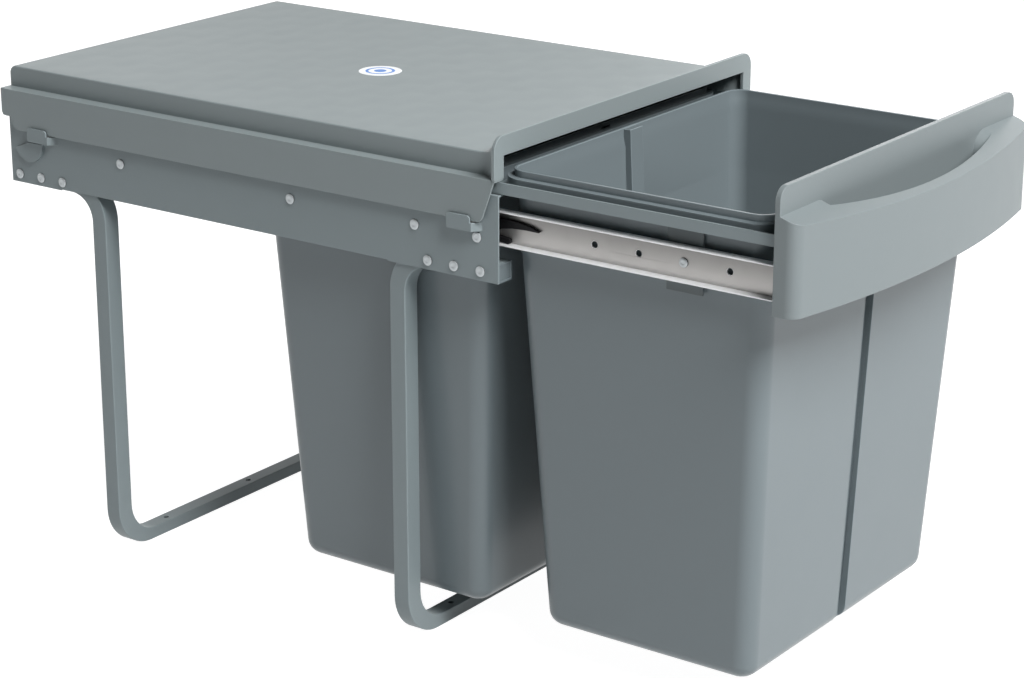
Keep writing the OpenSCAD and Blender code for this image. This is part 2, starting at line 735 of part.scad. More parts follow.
// Pins with a flat head over the lever and a tail behind the web
module lever_pins() {
  head_x = panel_in - lever_at + run_gap;
  color([0.70, 0.70, 0.70]) both_sides() {
    pin_x(head_x, lever_y, lever_z, lever_pin_d + 3, 1);
    pin_x(web_in_x - lap, lever_y, lever_z, lever_pin_d, head_x - web_in_x + 2 * lap);
    pin_x(web_in_x - 1, lever_y, lever_z, lever_pin_d + 2, 1);
  }
}

// Carriage

function bin_centres() = [front_bin_y, rear_bin_y];

// Outline of the ring made smaller by inset
function ring_plan(inset) =
  let (hx = ring_hw - inset, hy = (ring_rear - handle_back) / 2 - inset,
    r = ring_r - inset, f = max(0.5, ring_front_r - inset))
  concat(corner(hx - r, hy - r, r, 0, 8), corner(r - hx, hy - r, r, 90, 8),
    corner(f - hx, f - hy, f, 180, 3), corner(hx - f, f - hy, f, 270, 3));

// Ring of angle section with a cross ledge between the two bins
module carriage_ring() {
  opening_hw = bin_w / 2 - bin_neck + 0.8;
  opening_hd = bin_d / 2 - bin_neck * bin_taper_share + 0.8;
  color([0.41, 0.45, 0.46]) difference() {
    translate([0, ring_mid_y, ring_z]) linear_extrude(ring_h) polygon(ring_plan(0));
    translate([0, ring_mid_y, ledge_z]) linear_extrude(ring_h) polygon(ring_plan(ring_t));
    for (y = bin_centres()) translate([0, y, ring_z - 1]) linear_extrude(ring_h)
      polygon(round_rect(opening_hw, opening_hd, bin_r + 0.8));
  }
}

// Angle plates that carry the ring on the drawer members
module hanger_brackets() {
  color([0.30, 0.33, 0.34]) both_sides()
    for (y = [hanger_y, handle_back + hanger_rear]) difference() {
      union() {
        translate([web_in_x - ring_t, y - hanger_w / 2, hanger_low])
          cube([ring_t, hanger_w, ring_z - hanger_low]);
        translate([web_in_x - ring_t, y - hanger_w / 2, ring_z - ring_t])
          cube([hanger_flange, hanger_w, ring_t]);
      }
      pin_x(web_in_x - ring_t - 1, y, slide_z, rivet_hole_d, ring_t + 2);
    }
}

module hanger_rivets() {
  stack = slide_t + ring_t;
  color([0.78, 0.79, 0.79]) both_sides()
    for (y = [hanger_y, handle_back + hanger_rear]) {
      rivet_head(web_in_x + slide_t, y, slide_z, rivet_head_d - 1);
      pin_x(web_in_x - ring_t - lap, y, slide_z, rivet_d, stack + 2 * lap);
      pin_x(web_in_x - ring_t - 0.5, y, slide_z, rivet_d + 1.6, 0.5);
    }
}

screw_x = web_in_x - screw_side;
screw_rows = [-screw_pitch / 2, screw_pitch / 2];

// Angles welded to the drawer members' front ends, screwed to the handle plate
module front_brackets() {
  h = drawer_member_h - 4;
  color([0.30, 0.33, 0.34]) both_sides() difference() {
    union() {
      translate([web_in_x - front_bracket_w, handle_back, slide_z - h / 2])
        cube([front_bracket_w, ring_t, h]);
      translate([web_in_x - ring_t, handle_back, slide_z - h / 2]) cube([ring_t, front_bracket_len, h]);
    }
    for (dz = screw_rows) translate([screw_x, handle_back - 1, slide_z + dz]) rotate([-90, 0, 0])
      cylinder(d = rivet_hole_d, h = ring_t + 2, $fn = fine);
  }
}

// Pan head screws that hold the handle on the front brackets
screw_len = handle_t + 5;
module handle_screws() {
  color([0.75, 0.75, 0.74]) both_sides() for (dz = screw_rows)
    translate([screw_x, handle_back + ring_t, slide_z + dz]) rotate([90, 0, 0]) {
      translate([0, 0, -2.2]) cylinder(d = 7, h = 2.2, $fn = fine);
      translate([0, 0, -lap]) cylinder(d = rivet_d, h = ring_t + screw_len, $fn = fine);
    }
}

// Handle

// The bow seen from above: a flat back, a round front, and round ends that stand 0.05 mm
// proud of the front where they run into it, so that the two arcs cross
module bow_plan(inset) {
  hw = handle_w / 2;
  centre = bow_r - bow_depth;
  end_x = hw - bow_end_r;
  end_y = centre - sqrt(pow(bow_r - bow_end_r + 0.05, 2) - pow(end_x, 2));
  meet = end_x * (bow_r - inset) / (bow_r - bow_end_r);
  intersection() {
    translate([-handle_w, -2 * bow_depth]) square([2 * handle_w, 2 * bow_depth + lap]);
    union() {
      intersection() {
        translate([0, centre]) circle(r = bow_r - inset, $fn = large);
        translate([-meet, -2 * bow_depth]) square([2 * meet, 2 * bow_depth + lap]);
      }
      translate([inset - hw, min(0, end_y)]) square([2 * (hw - inset), lap - min(0, end_y)]);
      for (s = [-1, 1]) translate([s * end_x, end_y]) circle(r = bow_end_r - inset, $fn = 96);
    }
  }
}

// Everything that lies above a plane parallel to the bow's sloping top
module above_bow(drop) {
  translate([-handle_w, 0, bow_top - drop]) rotate([bow_slope, 0, 0])
    translate([0, -2 * bow_depth, 0]) cube([2 * handle_w, 3 * bow_depth, 2 * bow_depth]);
}

module screw_boss(d, length) {
  for (s = [-1, 1]) for (dz = screw_rows)
    translate([s * screw_x, 0, slide_z + dz - handle_z]) rotate([90, 0, 0])
      cylinder(d = d, h = length, $fn = fine);
}

module handle_front() {
  color([0.56, 0.60, 0.61]) translate([0, handle_front_y, handle_z]) difference() {
    union() {
      bow_shell();
      intersection() {
        screw_boss(boss_d, boss_len);
        linear_extrude(bow_top) bow_plan(1);
      }
      // plate with its top corners rounded
      translate([0, handle_t, 0]) rotate([90, 0, 0]) linear_extrude(handle_t + lap)
        polygon(concat(
          [[-handle_w / 2, 0], [handle_w / 2, 0]],
          corner(handle_w / 2 - handle_r, handle_h - handle_r, handle_r, 0, 12),
          corner(handle_r - handle_w / 2, handle_h - handle_r, handle_r, 90, 12)));
    }
    translate([0, handle_t + 1, 0]) screw_boss(rivet_hole_d, screw_len + 1.5);
  }
}

// The finger pocket, enlarged by grow: round front wall and rounded shoulders at both ends
module pocket(grow) {
  hw = pocket_w / 2;
  r = pocket_shoulder;
  intersection() {
    translate([0, 0, pocket_floor - grow]) linear_extrude(2 * bow_top) intersection() {
      translate([0, pocket_r + pocket_rim - bow_depth]) circle(r = pocket_r + grow, $fn = large);
      translate([-hw, -bow_depth]) square([2 * hw, bow_depth + (grow > 0 ? 1 : 0)]);
    }
    // section between the shoulders, carried along the slope
    translate([0, bow_depth, bow_top + bow_depth * tan(bow_slope)]) rotate([90 + bow_slope, 0, 0])
      linear_extrude(4 * bow_depth) polygon(concat(
        [[hw, r], [-hw, r], [-hw, -grow]],
        [for (i = [0:8]) [-hw + (r - grow) * sin(90 * i / 8), -r + (r - grow) * cos(90 * i / 8)]],
        [[-hw + r - grow, -2 * bow_top], [hw - r + grow, -2 * bow_top]],
        [for (i = [8:-1:0]) [hw - (r - grow) * sin(90 * i / 8), -r + (r - grow) * cos(90 * i / 8)]],
        [[hw, -grow]]));
  }
}

// Hollow bow, open underneath, with the finger pocket as a cup in its top
module bow_shell() {
  difference() {
    linear_extrude(bow_top + 1) bow_plan(0);
    above_bow(0);
    difference() {
      translate([0, 0, -1]) linear_extrude(bow_top + 1) bow_plan(bow_wall);
      above_bow(bow_wall);
      pocket(cup_t);
    }
    pocket(0);
  }
}

// Bins

// How far the side walls are drawn in, by the distance below the rim
body_slope = (bin_taper - bin_neck - 1.2 - step_d) / (bin_h - step_down);
function draw_in(down) = lookup(down, [
  [0, 0], [collar_h + lip_t, 0.3], [rim_z - ledge_z, bin_neck], [step_down - 1, bin_neck + 1.2],
  [step_down + 1, bin_neck + 1.2 + step_d], [bin_h, bin_taper]]);

// Outline of the bin at height z, made smaller by inset
function bin_ring(z, inset) = let (d = draw_in(rim_z - z))
  raise(round_rect(bin_w / 2 - d - inset, bin_d / 2 - d * bin_taper_share - inset,
    bin_r - min(inset, bin_r - 2)), z);

// Round foot: outlines drawn in along a quarter circle
function foot_rings(r, low, inset) =
  [for (i = [0:5]) let (a = 90 * i / 6) bin_ring(low + r - r * cos(a), inset + r - r * sin(a))];

function bin_rings(inset, low, top) = concat(
  foot_rings(bin_foot_r - inset, low, inset),
  [for (z = [low + bin_foot_r - inset, rim_z - step_down - 1, rim_z - step_down + 1,
    ledge_z, lip_top - lip_t]) bin_ring(z, inset)],
  [raise(bin_ring(rim_z, inset), top)]);

// A block that runs down the front and rear walls; extra widens it and lets it lie deeper
module groove(extra, top) {
  w = groove_w + 2 * extra;
  for (s = [0, 1]) mirror([0, s, 0])
    translate([0, -bin_d / 2, rim_z]) rotate([atan(body_slope * bin_taper_share), 0, 0])
      translate([-w / 2, -5, -1.2 * bin_h]) cube([w, 6.2 + groove_d + extra, 1.2 * bin_h - top]);
}

module bin(y) {
  translate([0, y, 0]) difference() {
    union() {
      difference() {
        loft(bin_rings(0, bin_foot, rim_z));
        groove(0, groove_top);
      }
      // lip with a turned-down edge, which hangs on the ring
      difference() {
        translate([0, 0, ledge_z]) linear_extrude(lip_top - ledge_z)
          polygon(round_rect(bin_w / 2 + lip_w, bin_d / 2 + lip_w, bin_r + lip_w));
        translate([0, 0, ledge_z - 1]) linear_extrude(lip_top - ledge_z - lip_t + 1)
          polygon(round_rect(bin_w / 2 + lip_w - lip_t, bin_d / 2 + lip_w - lip_t, bin_r + lip_w - lip_t));
        translate([0, 0, ledge_z - 2]) linear_extrude(2 * ring_h)
          polygon(round_rect(bin_w / 2 - bin_wall, bin_d / 2 - bin_wall, bin_r - bin_wall));
      }
    }
    difference() {
      loft(bin_rings(bin_wall, bin_foot + bin_wall, rim_z + 1));
      groove(bin_wall, groove_top - bin_wall);
    }
  }
}

module front_bin() { color([0.44, 0.48, 0.49]) bin(front_bin_y); }
module rear_bin() { color([0.44, 0.48, 0.49]) bin(rear_bin_y); }

// Lid

// How far the lid has swept out to the portal at y, from 0 to 1 at the portal
function sweep(y, length) = pow(max(0, 1 - (y - front_y - portal_t) / length), 2.2);
function lid_half(y) =
  lid_hw + lid_spread * pow((lid_rear - y) / panel_len, 2)
  + (portal_hw - lid_hw - lid_spread) * sweep(y, sweep_side);
function lid_height(y) = lid_top + portal_rise * sweep(y, sweep_top);

// Section of the lid at y: flat foot, round upper corners
function lid_section(y, hw, top, r, low) = [for (p = concat(
    [[hw, low]], corner(hw - r, top - r, r, 0, 5), corner(r - hw, top - r, r, 90, 5), [[-hw, low]]))
  [-p.x, y, p.y]];
function lid_ring(y, inset, low) =
  lid_section(y, lid_half(y) - inset, lid_height(y) - inset, max(0.3, lid_r - inset)
    + (portal_r - lid_r) * sweep(y, sweep_side), low);

// Rear edge: the top falls along a quarter circle, and the sides draw in a little
function lid_rear_rings(inset, low) = let (r = lid_rear_r - inset, end = lid_rear - inset)
  [for (i = [0:5]) let (a = 90 * i / 5, d = r - r * cos(a), y = end - r + r * sin(a))
    lid_section(y, lid_half(y) - inset - d / 12, lid_height(y) - inset - d,
      max(0.3, lid_r - inset), low)];

// Stations along the lid, closer together where it sweeps out
function lid_stations(from) = concat(
  [for (i = [0:9]) from + (front_y + portal_t + sweep_side - from) * i / 9],
  [for (share = [0.25, 0.54, 0.87]) front_y + share * panel_len]);

module lid_loft(inset, low, from) {
  loft(concat([for (y = lid_stations(from)) lid_ring(y, inset, low)], lid_rear_rings(inset, low)));
}

function skirt_outline() =
  let (low = strip_top - skirt_h, step = strip_top - rear_skirt_h, back = rear_skirt_y)
  concat(
    [[front_y + 0.4, strip_top], [front_y + 11, low + 3.5], [front_y + 12.6, low + 1], [front_y + 14.8, low]],
    [for (i = [0:6]) let (a = 270 + 15 * i)
      [back - 18 + 8 * cos(a), low + 8 + 8 * sin(a)]],
    [[back - 9.6, step + 0.6]],
    [[back - 9, step]],
    [for (i = [0:4]) let (a = 270 + 22.5 * i) [back - 4 + 4 * cos(a), step + 4 + 4 * sin(a)]],
    [[back, strip_top]]);

// Ribs inside the skirts, which sit on the panels' top edges
module seat_ribs() {
  rib_t = 3;
  rib_in = ring_hw + 0.6;
  span = panel_len - 2 * rib_end;
  for (i = [0:rib_count - 1])
    translate([rib_in, front_y + rib_end + span * i / (rib_count - 1) - rib_t / 2, panel_top])
      cube([skirt_in + lap - rib_in, rib_t, strip_low - panel_top + lap]);
}

module lid() {
  color([0.56, 0.60, 0.61]) difference() {
    union() {
      lid_loft(0, strip_low, front_y + portal_t);
      // portal face
      bar_y(front_y, portal_t + lap)
        polygon(concat(
          [[portal_hw, strip_top - 0.2]],
          corner(portal_hw - portal_r, portal_top - portal_r, portal_r, 0, 8),
          corner(portal_r - portal_hw, portal_top - portal_r, portal_r, 90, 8),
          [[-portal_hw, strip_top - 0.2]]));
      // strip around three sides
      translate([-skirt_out, front_y + 0.4, strip_low])
        cube([2 * skirt_out, rear_skirt_y - front_y - 0.4, lid_wall]);
      both_sides() sheet_x(skirt_in, skirt_t) polygon(skirt_outline());
      both_sides() seat_ribs();
      translate([-skirt_out + 1, rear_skirt_y - skirt_t, strip_top - rear_skirt_h])
        cube([2 * skirt_out - 2, skirt_t, rear_skirt_h - lap]);
    }
    lid_loft(lid_wall, strip_low - 1, front_y + portal_t);
    translate([-portal_in, front_y - 1, strip_low - 1])
      cube([2 * portal_in, portal_t + 2, lid_top - 0.5 - strip_low + 1]);
  }
}

// Plain round label: white disc with a generic ring and dot
module lid_label() {
  color([0.93, 0.94, 0.95]) translate([label_at.x, label_at.y, lid_top])
    cylinder(d = label_d, h = label_t, $fn = 64);
}

side_panel_left();
side_panel_right();
front_leg_frame();
rear_leg_frame();
tube_end_caps();
leg_rivets();
slide_rivets();
slide_cabinet_member_left();
slide_cabinet_member_right();
slide_bumpers();
lid();
lid_label();
slide_middle_member_left();
slide_middle_member_right();
outer_ball_cage_left();
outer_ball_cage_right();
outer_balls();
inner_ball_cage_left();
inner_ball_cage_right();
inner_balls();
slide_drawer_member_left();
slide_drawer_member_right();
carriage_ring();
hanger_brackets();
hanger_rivets();
front_brackets();
handle_front();
handle_screws();
lever_pins();
release_lever_left();
release_lever_right();
front_bin();
rear_bin();
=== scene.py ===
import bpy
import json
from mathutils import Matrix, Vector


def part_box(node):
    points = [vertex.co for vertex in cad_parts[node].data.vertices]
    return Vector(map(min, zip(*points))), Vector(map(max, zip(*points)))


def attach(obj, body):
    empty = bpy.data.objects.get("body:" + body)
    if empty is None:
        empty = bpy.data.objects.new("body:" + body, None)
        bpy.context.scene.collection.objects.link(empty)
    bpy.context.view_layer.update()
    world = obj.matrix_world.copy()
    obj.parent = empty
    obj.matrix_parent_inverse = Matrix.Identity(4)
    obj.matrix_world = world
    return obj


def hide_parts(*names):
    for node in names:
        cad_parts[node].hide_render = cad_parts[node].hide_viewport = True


bl_info = {
    "name": "Pull-out bin frame",
    "version": (1, 0, 0),
    "blender": (4, 5, 0),
    "location": "3D View > Sidebar > Bin frame",
    "description": "Dresses a pull-out bin frame with painted steel, zinced slides and moulded plastic",
    "category": "Object",
}

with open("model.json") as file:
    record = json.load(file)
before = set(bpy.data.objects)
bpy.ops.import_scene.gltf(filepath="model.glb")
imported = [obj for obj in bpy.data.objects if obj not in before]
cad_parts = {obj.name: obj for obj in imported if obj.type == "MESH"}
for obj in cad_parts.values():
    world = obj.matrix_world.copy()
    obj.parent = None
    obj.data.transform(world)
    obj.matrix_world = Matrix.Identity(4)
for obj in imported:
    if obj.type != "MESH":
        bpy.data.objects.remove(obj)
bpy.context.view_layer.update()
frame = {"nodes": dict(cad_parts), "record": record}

import json
from math import floor, pi, radians

import bmesh
import bpy
from mathutils import Vector

NODES = frame["nodes"]
BODY_OF = {node: body for body, nodes in frame["record"]["behaviour"]["bodies"].items() for node in nodes}
MM = 0.001

# Merging of a CAD node's triangles into whole faces, and the room in which two planes are one
MERGE_DISTANCE = 0.001 * MM
FLAT_ANGLE = radians(0.8)
SAME_PLANE = 0.1 * MM

# Screw holes of the floor bars: place of the outer ones, room around each, and facets left unbevelled
HOLE_REACH = 104 * MM
HOLE_ROOM = 3 * MM
HOLE_FACET = 1.2 * MM

# Tube end plugs: head height, wall that the tube takes, rim and depth of the sunk face
PLUG_HEAD = 1.5 * MM
PLUG_WALL = 1.4 * MM
PLUG_RIM = 1.6 * MM
PLUG_SINK = 0.5 * MM
PLUG_EDGE = 0.2 * MM

# Rivets: the profiles give shares of the radius and of the head's height
RIVET_SIDES = 28
RIVET_HEAD = 1.3 * MM
RIVET_SHANK = 2 * MM
RIVET_TAIL = 2.8 * MM
RIVET_TAIL_HEIGHT = 0.6 * MM
RIVET_PROFILE = ((1.0, 0.42), (0.97, 0.20), (0.91, 0.16), (0.78, 0.12), (0.58, 0.10))
DIMPLE_PROFILE = ((1.0, 0.0), (0.9, -0.10), (0.5, -0.02))
LARGE_RIVET = 4 * MM
SMALL_RIVET = 3.5 * MM

# Release levers
LEVER_EDGE = 0.35 * MM

# Lid: depths behind its front end and drops below its highest point
PORTAL_DEPTH = 2.5 * MM
PORTAL_ROOM = 0.3 * MM
SWEEP_START = 1 * MM
SWEEP_END = 20 * MM
SWEEP_DROP = 30.5 * MM
# Drops that bound the upward strips beside the raised top; these strips take the paler finish, a painted
# highlight
STRIP_TOP = 17 * MM
STRIP_BOTTOM = 30 * MM

# Scales on the lid's top, and the flat margins at its border and around the label
SCALE_LENGTH = 46 * MM
SCALE_ROW = 23.5 * MM
SCALE_BORDER = 1.5 * MM
SCALE_FADE = 4 * MM
SCALE_CUTS = 100
LABEL_ROOM = 1 * MM

# Label: upright share of its rim, its slanted rim, and the ring and dot as shares of its radius
LABEL_SIDES = 64
LABEL_WALL = 0.6
LABEL_ROUND = 0.2 * MM
RING_OUTSIDE = 0.70
RING_INSIDE = 0.56
DOT = 0.30

# Studio: sizes and places in metres, power in watts
FLOOR_WIDTH = 14
FLOOR_DROP = 0.5 * MM
BACKDROP_HEIGHT = 5
SEEN_FLOOR = (0.30, 0.30, 0.30, 1)
FLOOR_GLOW = 0.97
WORLD_STRENGTH = 0.02

LIGHTS_AIM = (0, -0.12, 0.25)
LIGHTS = {
    "front softbox": {"place": (-0.59, -2.4, 2.8), "size": (2.0, 1.6), "power": 190},
    "lid gloss": {"place": (1.6, 3.0, 1.8), "size": (2.4, 2.0), "power": 8},
    "rear fill": {"place": (0.2, 3.4, 1.1), "size": (2.4, 1.6), "power": 28},
    "right fill": {"place": (3.4, 0.4, 1.1), "size": (2.4, 1.6), "power": 28},
}

PHOTO_WIDTH = 1024
FOCAL_PIXELS = 2710.771919
SENSOR_WIDTH = 36
CAMERA_PLACE = (-1.6378666, -1.3153961, 0.8673894)
CAMERA_DIP = 0.32199263
CAMERA_TURN = -0.94520878
CAMERA_REACH = 30


# Sizes and colours


class BinFrameSizes(bpy.types.PropertyGroup):
    """Sizes of the rounded edges and the small fittings"""

    sheet_edge: bpy.props.FloatProperty(
        name="Sheet edge", description="Width of the rounded edges of the painted sheet steel",
        default=0.3 * MM, min=0.05 * MM, max=1 * MM, subtype="DISTANCE", unit="LENGTH")
    tube_edge: bpy.props.FloatProperty(
        name="Tube edge", description="Width of the rounded long edges of the leg tubes",
        default=0.8 * MM, min=0.2 * MM, max=3 * MM, subtype="DISTANCE", unit="LENGTH")
    slide_edge: bpy.props.FloatProperty(
        name="Slide edge", description="Width of the rolled edges of the slide members",
        default=0.3 * MM, min=0.05 * MM, max=0.5 * MM, subtype="DISTANCE", unit="LENGTH")
    lid_edge: bpy.props.FloatProperty(
        name="Lid edge", description="Width of the soft edges of the moulded lid",
        default=0.4 * MM, min=0.1 * MM, max=0.6 * MM, subtype="DISTANCE", unit="LENGTH")
    front_edge: bpy.props.FloatProperty(
        name="Front edge", description="Width of the soft edges of the moulded handle front",
        default=0.45 * MM, min=0.1 * MM, max=1.3 * MM, subtype="DISTANCE", unit="LENGTH")
    bin_edge: bpy.props.FloatProperty(
        name="Bin edge", description="Width of the soft edges of the bins",
        default=0.5 * MM, min=0.1 * MM, max=0.9 * MM, subtype="DISTANCE", unit="LENGTH")
    rivet_dimple: bpy.props.FloatProperty(
        name="Rivet dimple", description="Radius of the dimple that the stem leaves in a rivet's head",
        default=1.5 * MM, min=0.5 * MM, max=2 * MM, subtype="DISTANCE", unit="LENGTH")
    relief_depth: bpy.props.FloatProperty(
        name="Lid relief", description="Height of the shallow scales on the lid's top",
        default=0.3 * MM, min=0, max=1 * MM, subtype="DISTANCE", unit="LENGTH")


def colour(name, description, value):
    return bpy.props.FloatVectorProperty(
        name=name, description=description, default=value, min=0, max=1, size=3, subtype="COLOR")


class BinFrameColours(bpy.types.PropertyGroup):
    """Base colours of the finishes, in linear light"""

    paint: colour("Steel paint", "Grey paint on the panels, legs and ring", (0.222, 0.264, 0.275))
    lid: colour("Lid plastic", "Grey plastic of the lid", (0.231, 0.268, 0.275))
    front: colour("Front plastic", "Grey plastic of the handle front", (0.188, 0.217, 0.224))
    bins: colour("Bin plastic", "Grey plastic of the two bins", (0.158, 0.190, 0.203))
    zinc: colour("Zinced steel", "Warm zinc plating on the slides", (0.35, 0.342, 0.333))
    # Near-white colour of the painted highlight on the slides' upward faces and edges
    track: colour("Slide highlight", "Painted highlight on the slides' upward faces, ball tracks and edges", (0.97, 0.98, 0.99))
    rivet: colour("Rivets", "Plated rivet heads", (0.52, 0.555, 0.57))
    lever: colour("Levers", "Black plastic of the release levers", (0.010, 0.010, 0.011))
    rubber: colour("Rubber", "Rubber of the end stops", (0.018, 0.018, 0.018))
    film: colour("Label film", "White film of the round label", (0.86, 0.88, 0.90))
    ink: colour("Label ink", "Blue ink of the plain ring and dot", (0.03, 0.20, 0.62))
    floor: colour("Floor", "Pale floor and backdrop", (0.72, 0.73, 0.74))


def sizes():
    return bpy.context.scene.bin_frame_sizes


def colours():
    return bpy.context.scene.bin_frame_colours


# Modelling


def drop_selection():
    active = bpy.context.view_layer.objects.active
    if active is not None and active.mode != "OBJECT":
        bpy.ops.object.mode_set(mode="OBJECT")
    bpy.ops.object.select_all(action="DESELECT")


def pick(piece):
    drop_selection()
    piece.select_set(True)
    bpy.context.view_layer.objects.active = piece


def edit(piece, kind="FACE"):
    pick(piece)
    bpy.ops.object.mode_set(mode="EDIT")
    bpy.ops.mesh.select_mode(type=kind)
    bpy.ops.mesh.select_all(action="DESELECT")


def leave_edit():
    bpy.ops.object.mode_set(mode="OBJECT")


def choose_faces(piece, test):
    """Selects the faces that pass the test, in edit mode."""
    shape = bmesh.from_edit_mesh(piece.data)
    for face in shape.faces:
        face.select_set(bool(test(face)))
    bmesh.update_edit_mesh(piece.data)


def drop_edges(piece, test):
    """Takes the edges that pass the test out of the selection, in edit mode."""
    shape = bmesh.from_edit_mesh(piece.data)
    for edge in shape.edges:
        if edge.select and test(edge):
            edge.select_set(False)
    shape.select_flush_mode()
    bmesh.update_edit_mesh(piece.data)


def draw_out(shift):
    """Extrudes the selected faces by a shift."""
    bpy.ops.mesh.extrude_region_move(TRANSFORM_OT_translate={"value": shift})


def draw_round(reach, steps):
    """Draws a round face of radius reach along z, to a new radius at each step."""
    for radius, rise in steps:
        draw_out((0, 0, rise))
        bpy.ops.transform.resize(value=(radius / reach, radius / reach, 1))
        reach = radius


def settle(piece):
    """Puts a finished piece's place into its mesh."""
    pick(piece)
    bpy.ops.object.transform_apply(location=True, rotation=True, scale=True)


def smooth(piece, angle=32):
    pick(piece)
    bpy.ops.object.shade_smooth_by_angle(angle=radians(angle))
    bpy.ops.object.modifier_add(type="WEIGHTED_NORMAL")
    piece.modifiers[-1].keep_sharp = True
    bpy.ops.object.modifier_apply(modifier=piece.modifiers[-1].name)


def copy_of_node(node, name, finish):
    """A coated copy of a CAD node with its triangles merged into whole faces."""
    piece = bpy.data.objects.new(name, NODES[node].data.copy())
    piece.data.name = name
    bpy.context.scene.collection.objects.link(piece)
    edit(piece)
    bpy.ops.mesh.select_all(action="SELECT")
    bpy.ops.mesh.remove_doubles(threshold=MERGE_DISTANCE)
    bpy.ops.mesh.dissolve_limited(angle_limit=FLAT_ANGLE)
    leave_edit()
    coat(piece, finish)
    return piece


def coat(piece, name):
    """The piece gets its finish, and a second finish for its rounded edges; for most finishes this is a
    paler copy, a painted highlight along the edges.
    """
    piece.data.materials.clear()
    piece.data.materials.append(material(name))
    piece.data.materials.append(material(name + " edge"))
    for face in piece.data.polygons:
        face.material_index = 0


def round_sharp_edges(piece, width, segments=2, sharpness=40, leave=None):
    """Bevels the sharp outer edges of a coated piece, apart from those for which leave() is true."""
    edit(piece, "EDGE")
    bpy.ops.mesh.edges_select_sharp(sharpness=radians(sharpness))
    drop_edges(piece, lambda edge: not edge.is_convex or (leave is not None and leave(edge)))
    # The bevel faces take the second finish, mostly a paler copy that paints a highlight along the edges
    bpy.ops.mesh.bevel(offset=width, offset_type="OFFSET", segments=segments, profile=0.5, material=1,
                       clamp_overlap=False)
    leave_edit()


def stand_in(piece, slot, *nodes):
    """The piece stands for CAD nodes of one body."""
    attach(piece, BODY_OF[nodes[0]])
    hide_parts(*nodes)


def finish_node(node, name):
    """A CAD node that keeps its own shape gets its finish."""
    for place in NODES[node].material_slots:
        place.material = material(name)


def islands(node):
    """Lowest and highest corner of each separate solid of a CAD node, in order along x and y."""
    mesh = NODES[node].data
    leader = {}

    def find(key):
        while leader[key] != key:
            leader[key] = leader[leader[key]]
            key = leader[key]
        return key

    keys = [tuple(round(c * 1e5) for c in vertex.co) for vertex in mesh.vertices]
    for key in keys:
        leader.setdefault(key, key)
    for face in mesh.polygons:
        first = find(keys[face.vertices[0]])
        for index in face.vertices[1:]:
            leader[find(keys[index])] = first
    groups = {}
    for vertex, key in zip(mesh.vertices, keys):
        groups.setdefault(find(key), []).append(vertex.co)
    boxes = []
    for points in groups.values():
        low = Vector(min(point[i] for point in points) for i in range(3))
        high = Vector(max(point[i] for point in points) for i in range(3))
        boxes.append((low, high))
    return sorted(boxes, key=lambda box: (round(box[0].x, 4), round(box[0].y, 4)))


def join(pieces, name):
    drop_selection()
    for piece in pieces:
        piece.select_set(True)
    bpy.context.view_layer.objects.active = pieces[0]
    bpy.ops.object.join()
    pieces[0].name = name
    pieces[0].data.name = name
    return pieces[0]


# Materials


def group_of(name, inputs, outputs):
    """A new shader node group with its sockets, or the one that was made before."""
    if name in bpy.data.node_groups:
        return bpy.data.node_groups[name], None, None
    group = bpy.data.node_groups.new(name, "ShaderNodeTree")
    for label, kind, value in inputs:
        socket = group.interface.new_socket(label, in_out="INPUT", socket_type=kind)
        socket.default_value = value
    for label, kind in outputs:
        group.interface.new_socket(label, in_out="OUTPUT", socket_type=kind)
    return group, group.nodes.new("NodeGroupInput"), group.nodes.new("NodeGroupOutput")


def math_node(tree, kind, first, second):
    """The result of a Math node of that kind, fed by two sockets or numbers."""
    node = tree.nodes.new("ShaderNodeMath")
    node.operation = kind
    for socket, value in zip(node.inputs, (first, second)):
        if isinstance(value, (int, float)):
            socket.default_value = value
        else:
            tree.links.new(value, socket)
    return node.outputs[0]


def noise_node(tree, place, scale, detail, rough=0.5):
    node = tree.nodes.new("ShaderNodeTexNoise")
    node.inputs["Detail"].default_value = detail
    node.inputs["Roughness"].default_value = rough
    tree.links.new(place, node.inputs["Vector"])
    tree.links.new(scale, node.inputs["Scale"])
    return node.outputs["Fac"]


def scale_colour(tree, colour, share):
    """The colour made lighter or darker by a share that a socket gives."""
    tone = tree.nodes.new("ShaderNodeHueSaturation")
    tree.links.new(colour, tone.inputs["Color"])
    tree.links.new(share, tone.inputs["Value"])
    return tone.outputs["Color"]


def tone_drift():
    """Slow change of tone over a surface, with faint rubbed patches."""
    group, given, out = group_of(
        "Tone drift",
        [("Colour", "NodeSocketColor", (0.5, 0.5, 0.5, 1)), ("Place", "NodeSocketVector", (0, 0, 0)),
         ("Scale", "NodeSocketFloat", 9.0), ("Amount", "NodeSocketFloat", 0.08),
         ("Roughness", "NodeSocketFloat", 0.5), ("Rub", "NodeSocketFloat", 0.1)],
        [("Colour", "NodeSocketColor"), ("Roughness", "NodeSocketFloat")])
    if given is None:
        return group
    place, scale = given.outputs["Place"], given.outputs["Scale"]
    drift = noise_node(group, place, scale, detail=3.0)
    shift = math_node(group, "MULTIPLY", math_node(group, "SUBTRACT", drift, 0.5), given.outputs["Amount"])
    tone = scale_colour(group, given.outputs["Colour"], math_node(group, "ADD", shift, 1.0))
    group.links.new(tone, out.inputs["Colour"])
    fine = noise_node(group, place, math_node(group, "MULTIPLY", scale, 7.0), detail=5.0, rough=0.65)
    rub = math_node(group, "MULTIPLY", math_node(group, "SUBTRACT", fine, 0.5), given.outputs["Rub"])
    group.links.new(math_node(group, "ADD", rub, given.outputs["Roughness"]), out.inputs["Roughness"])
    return group


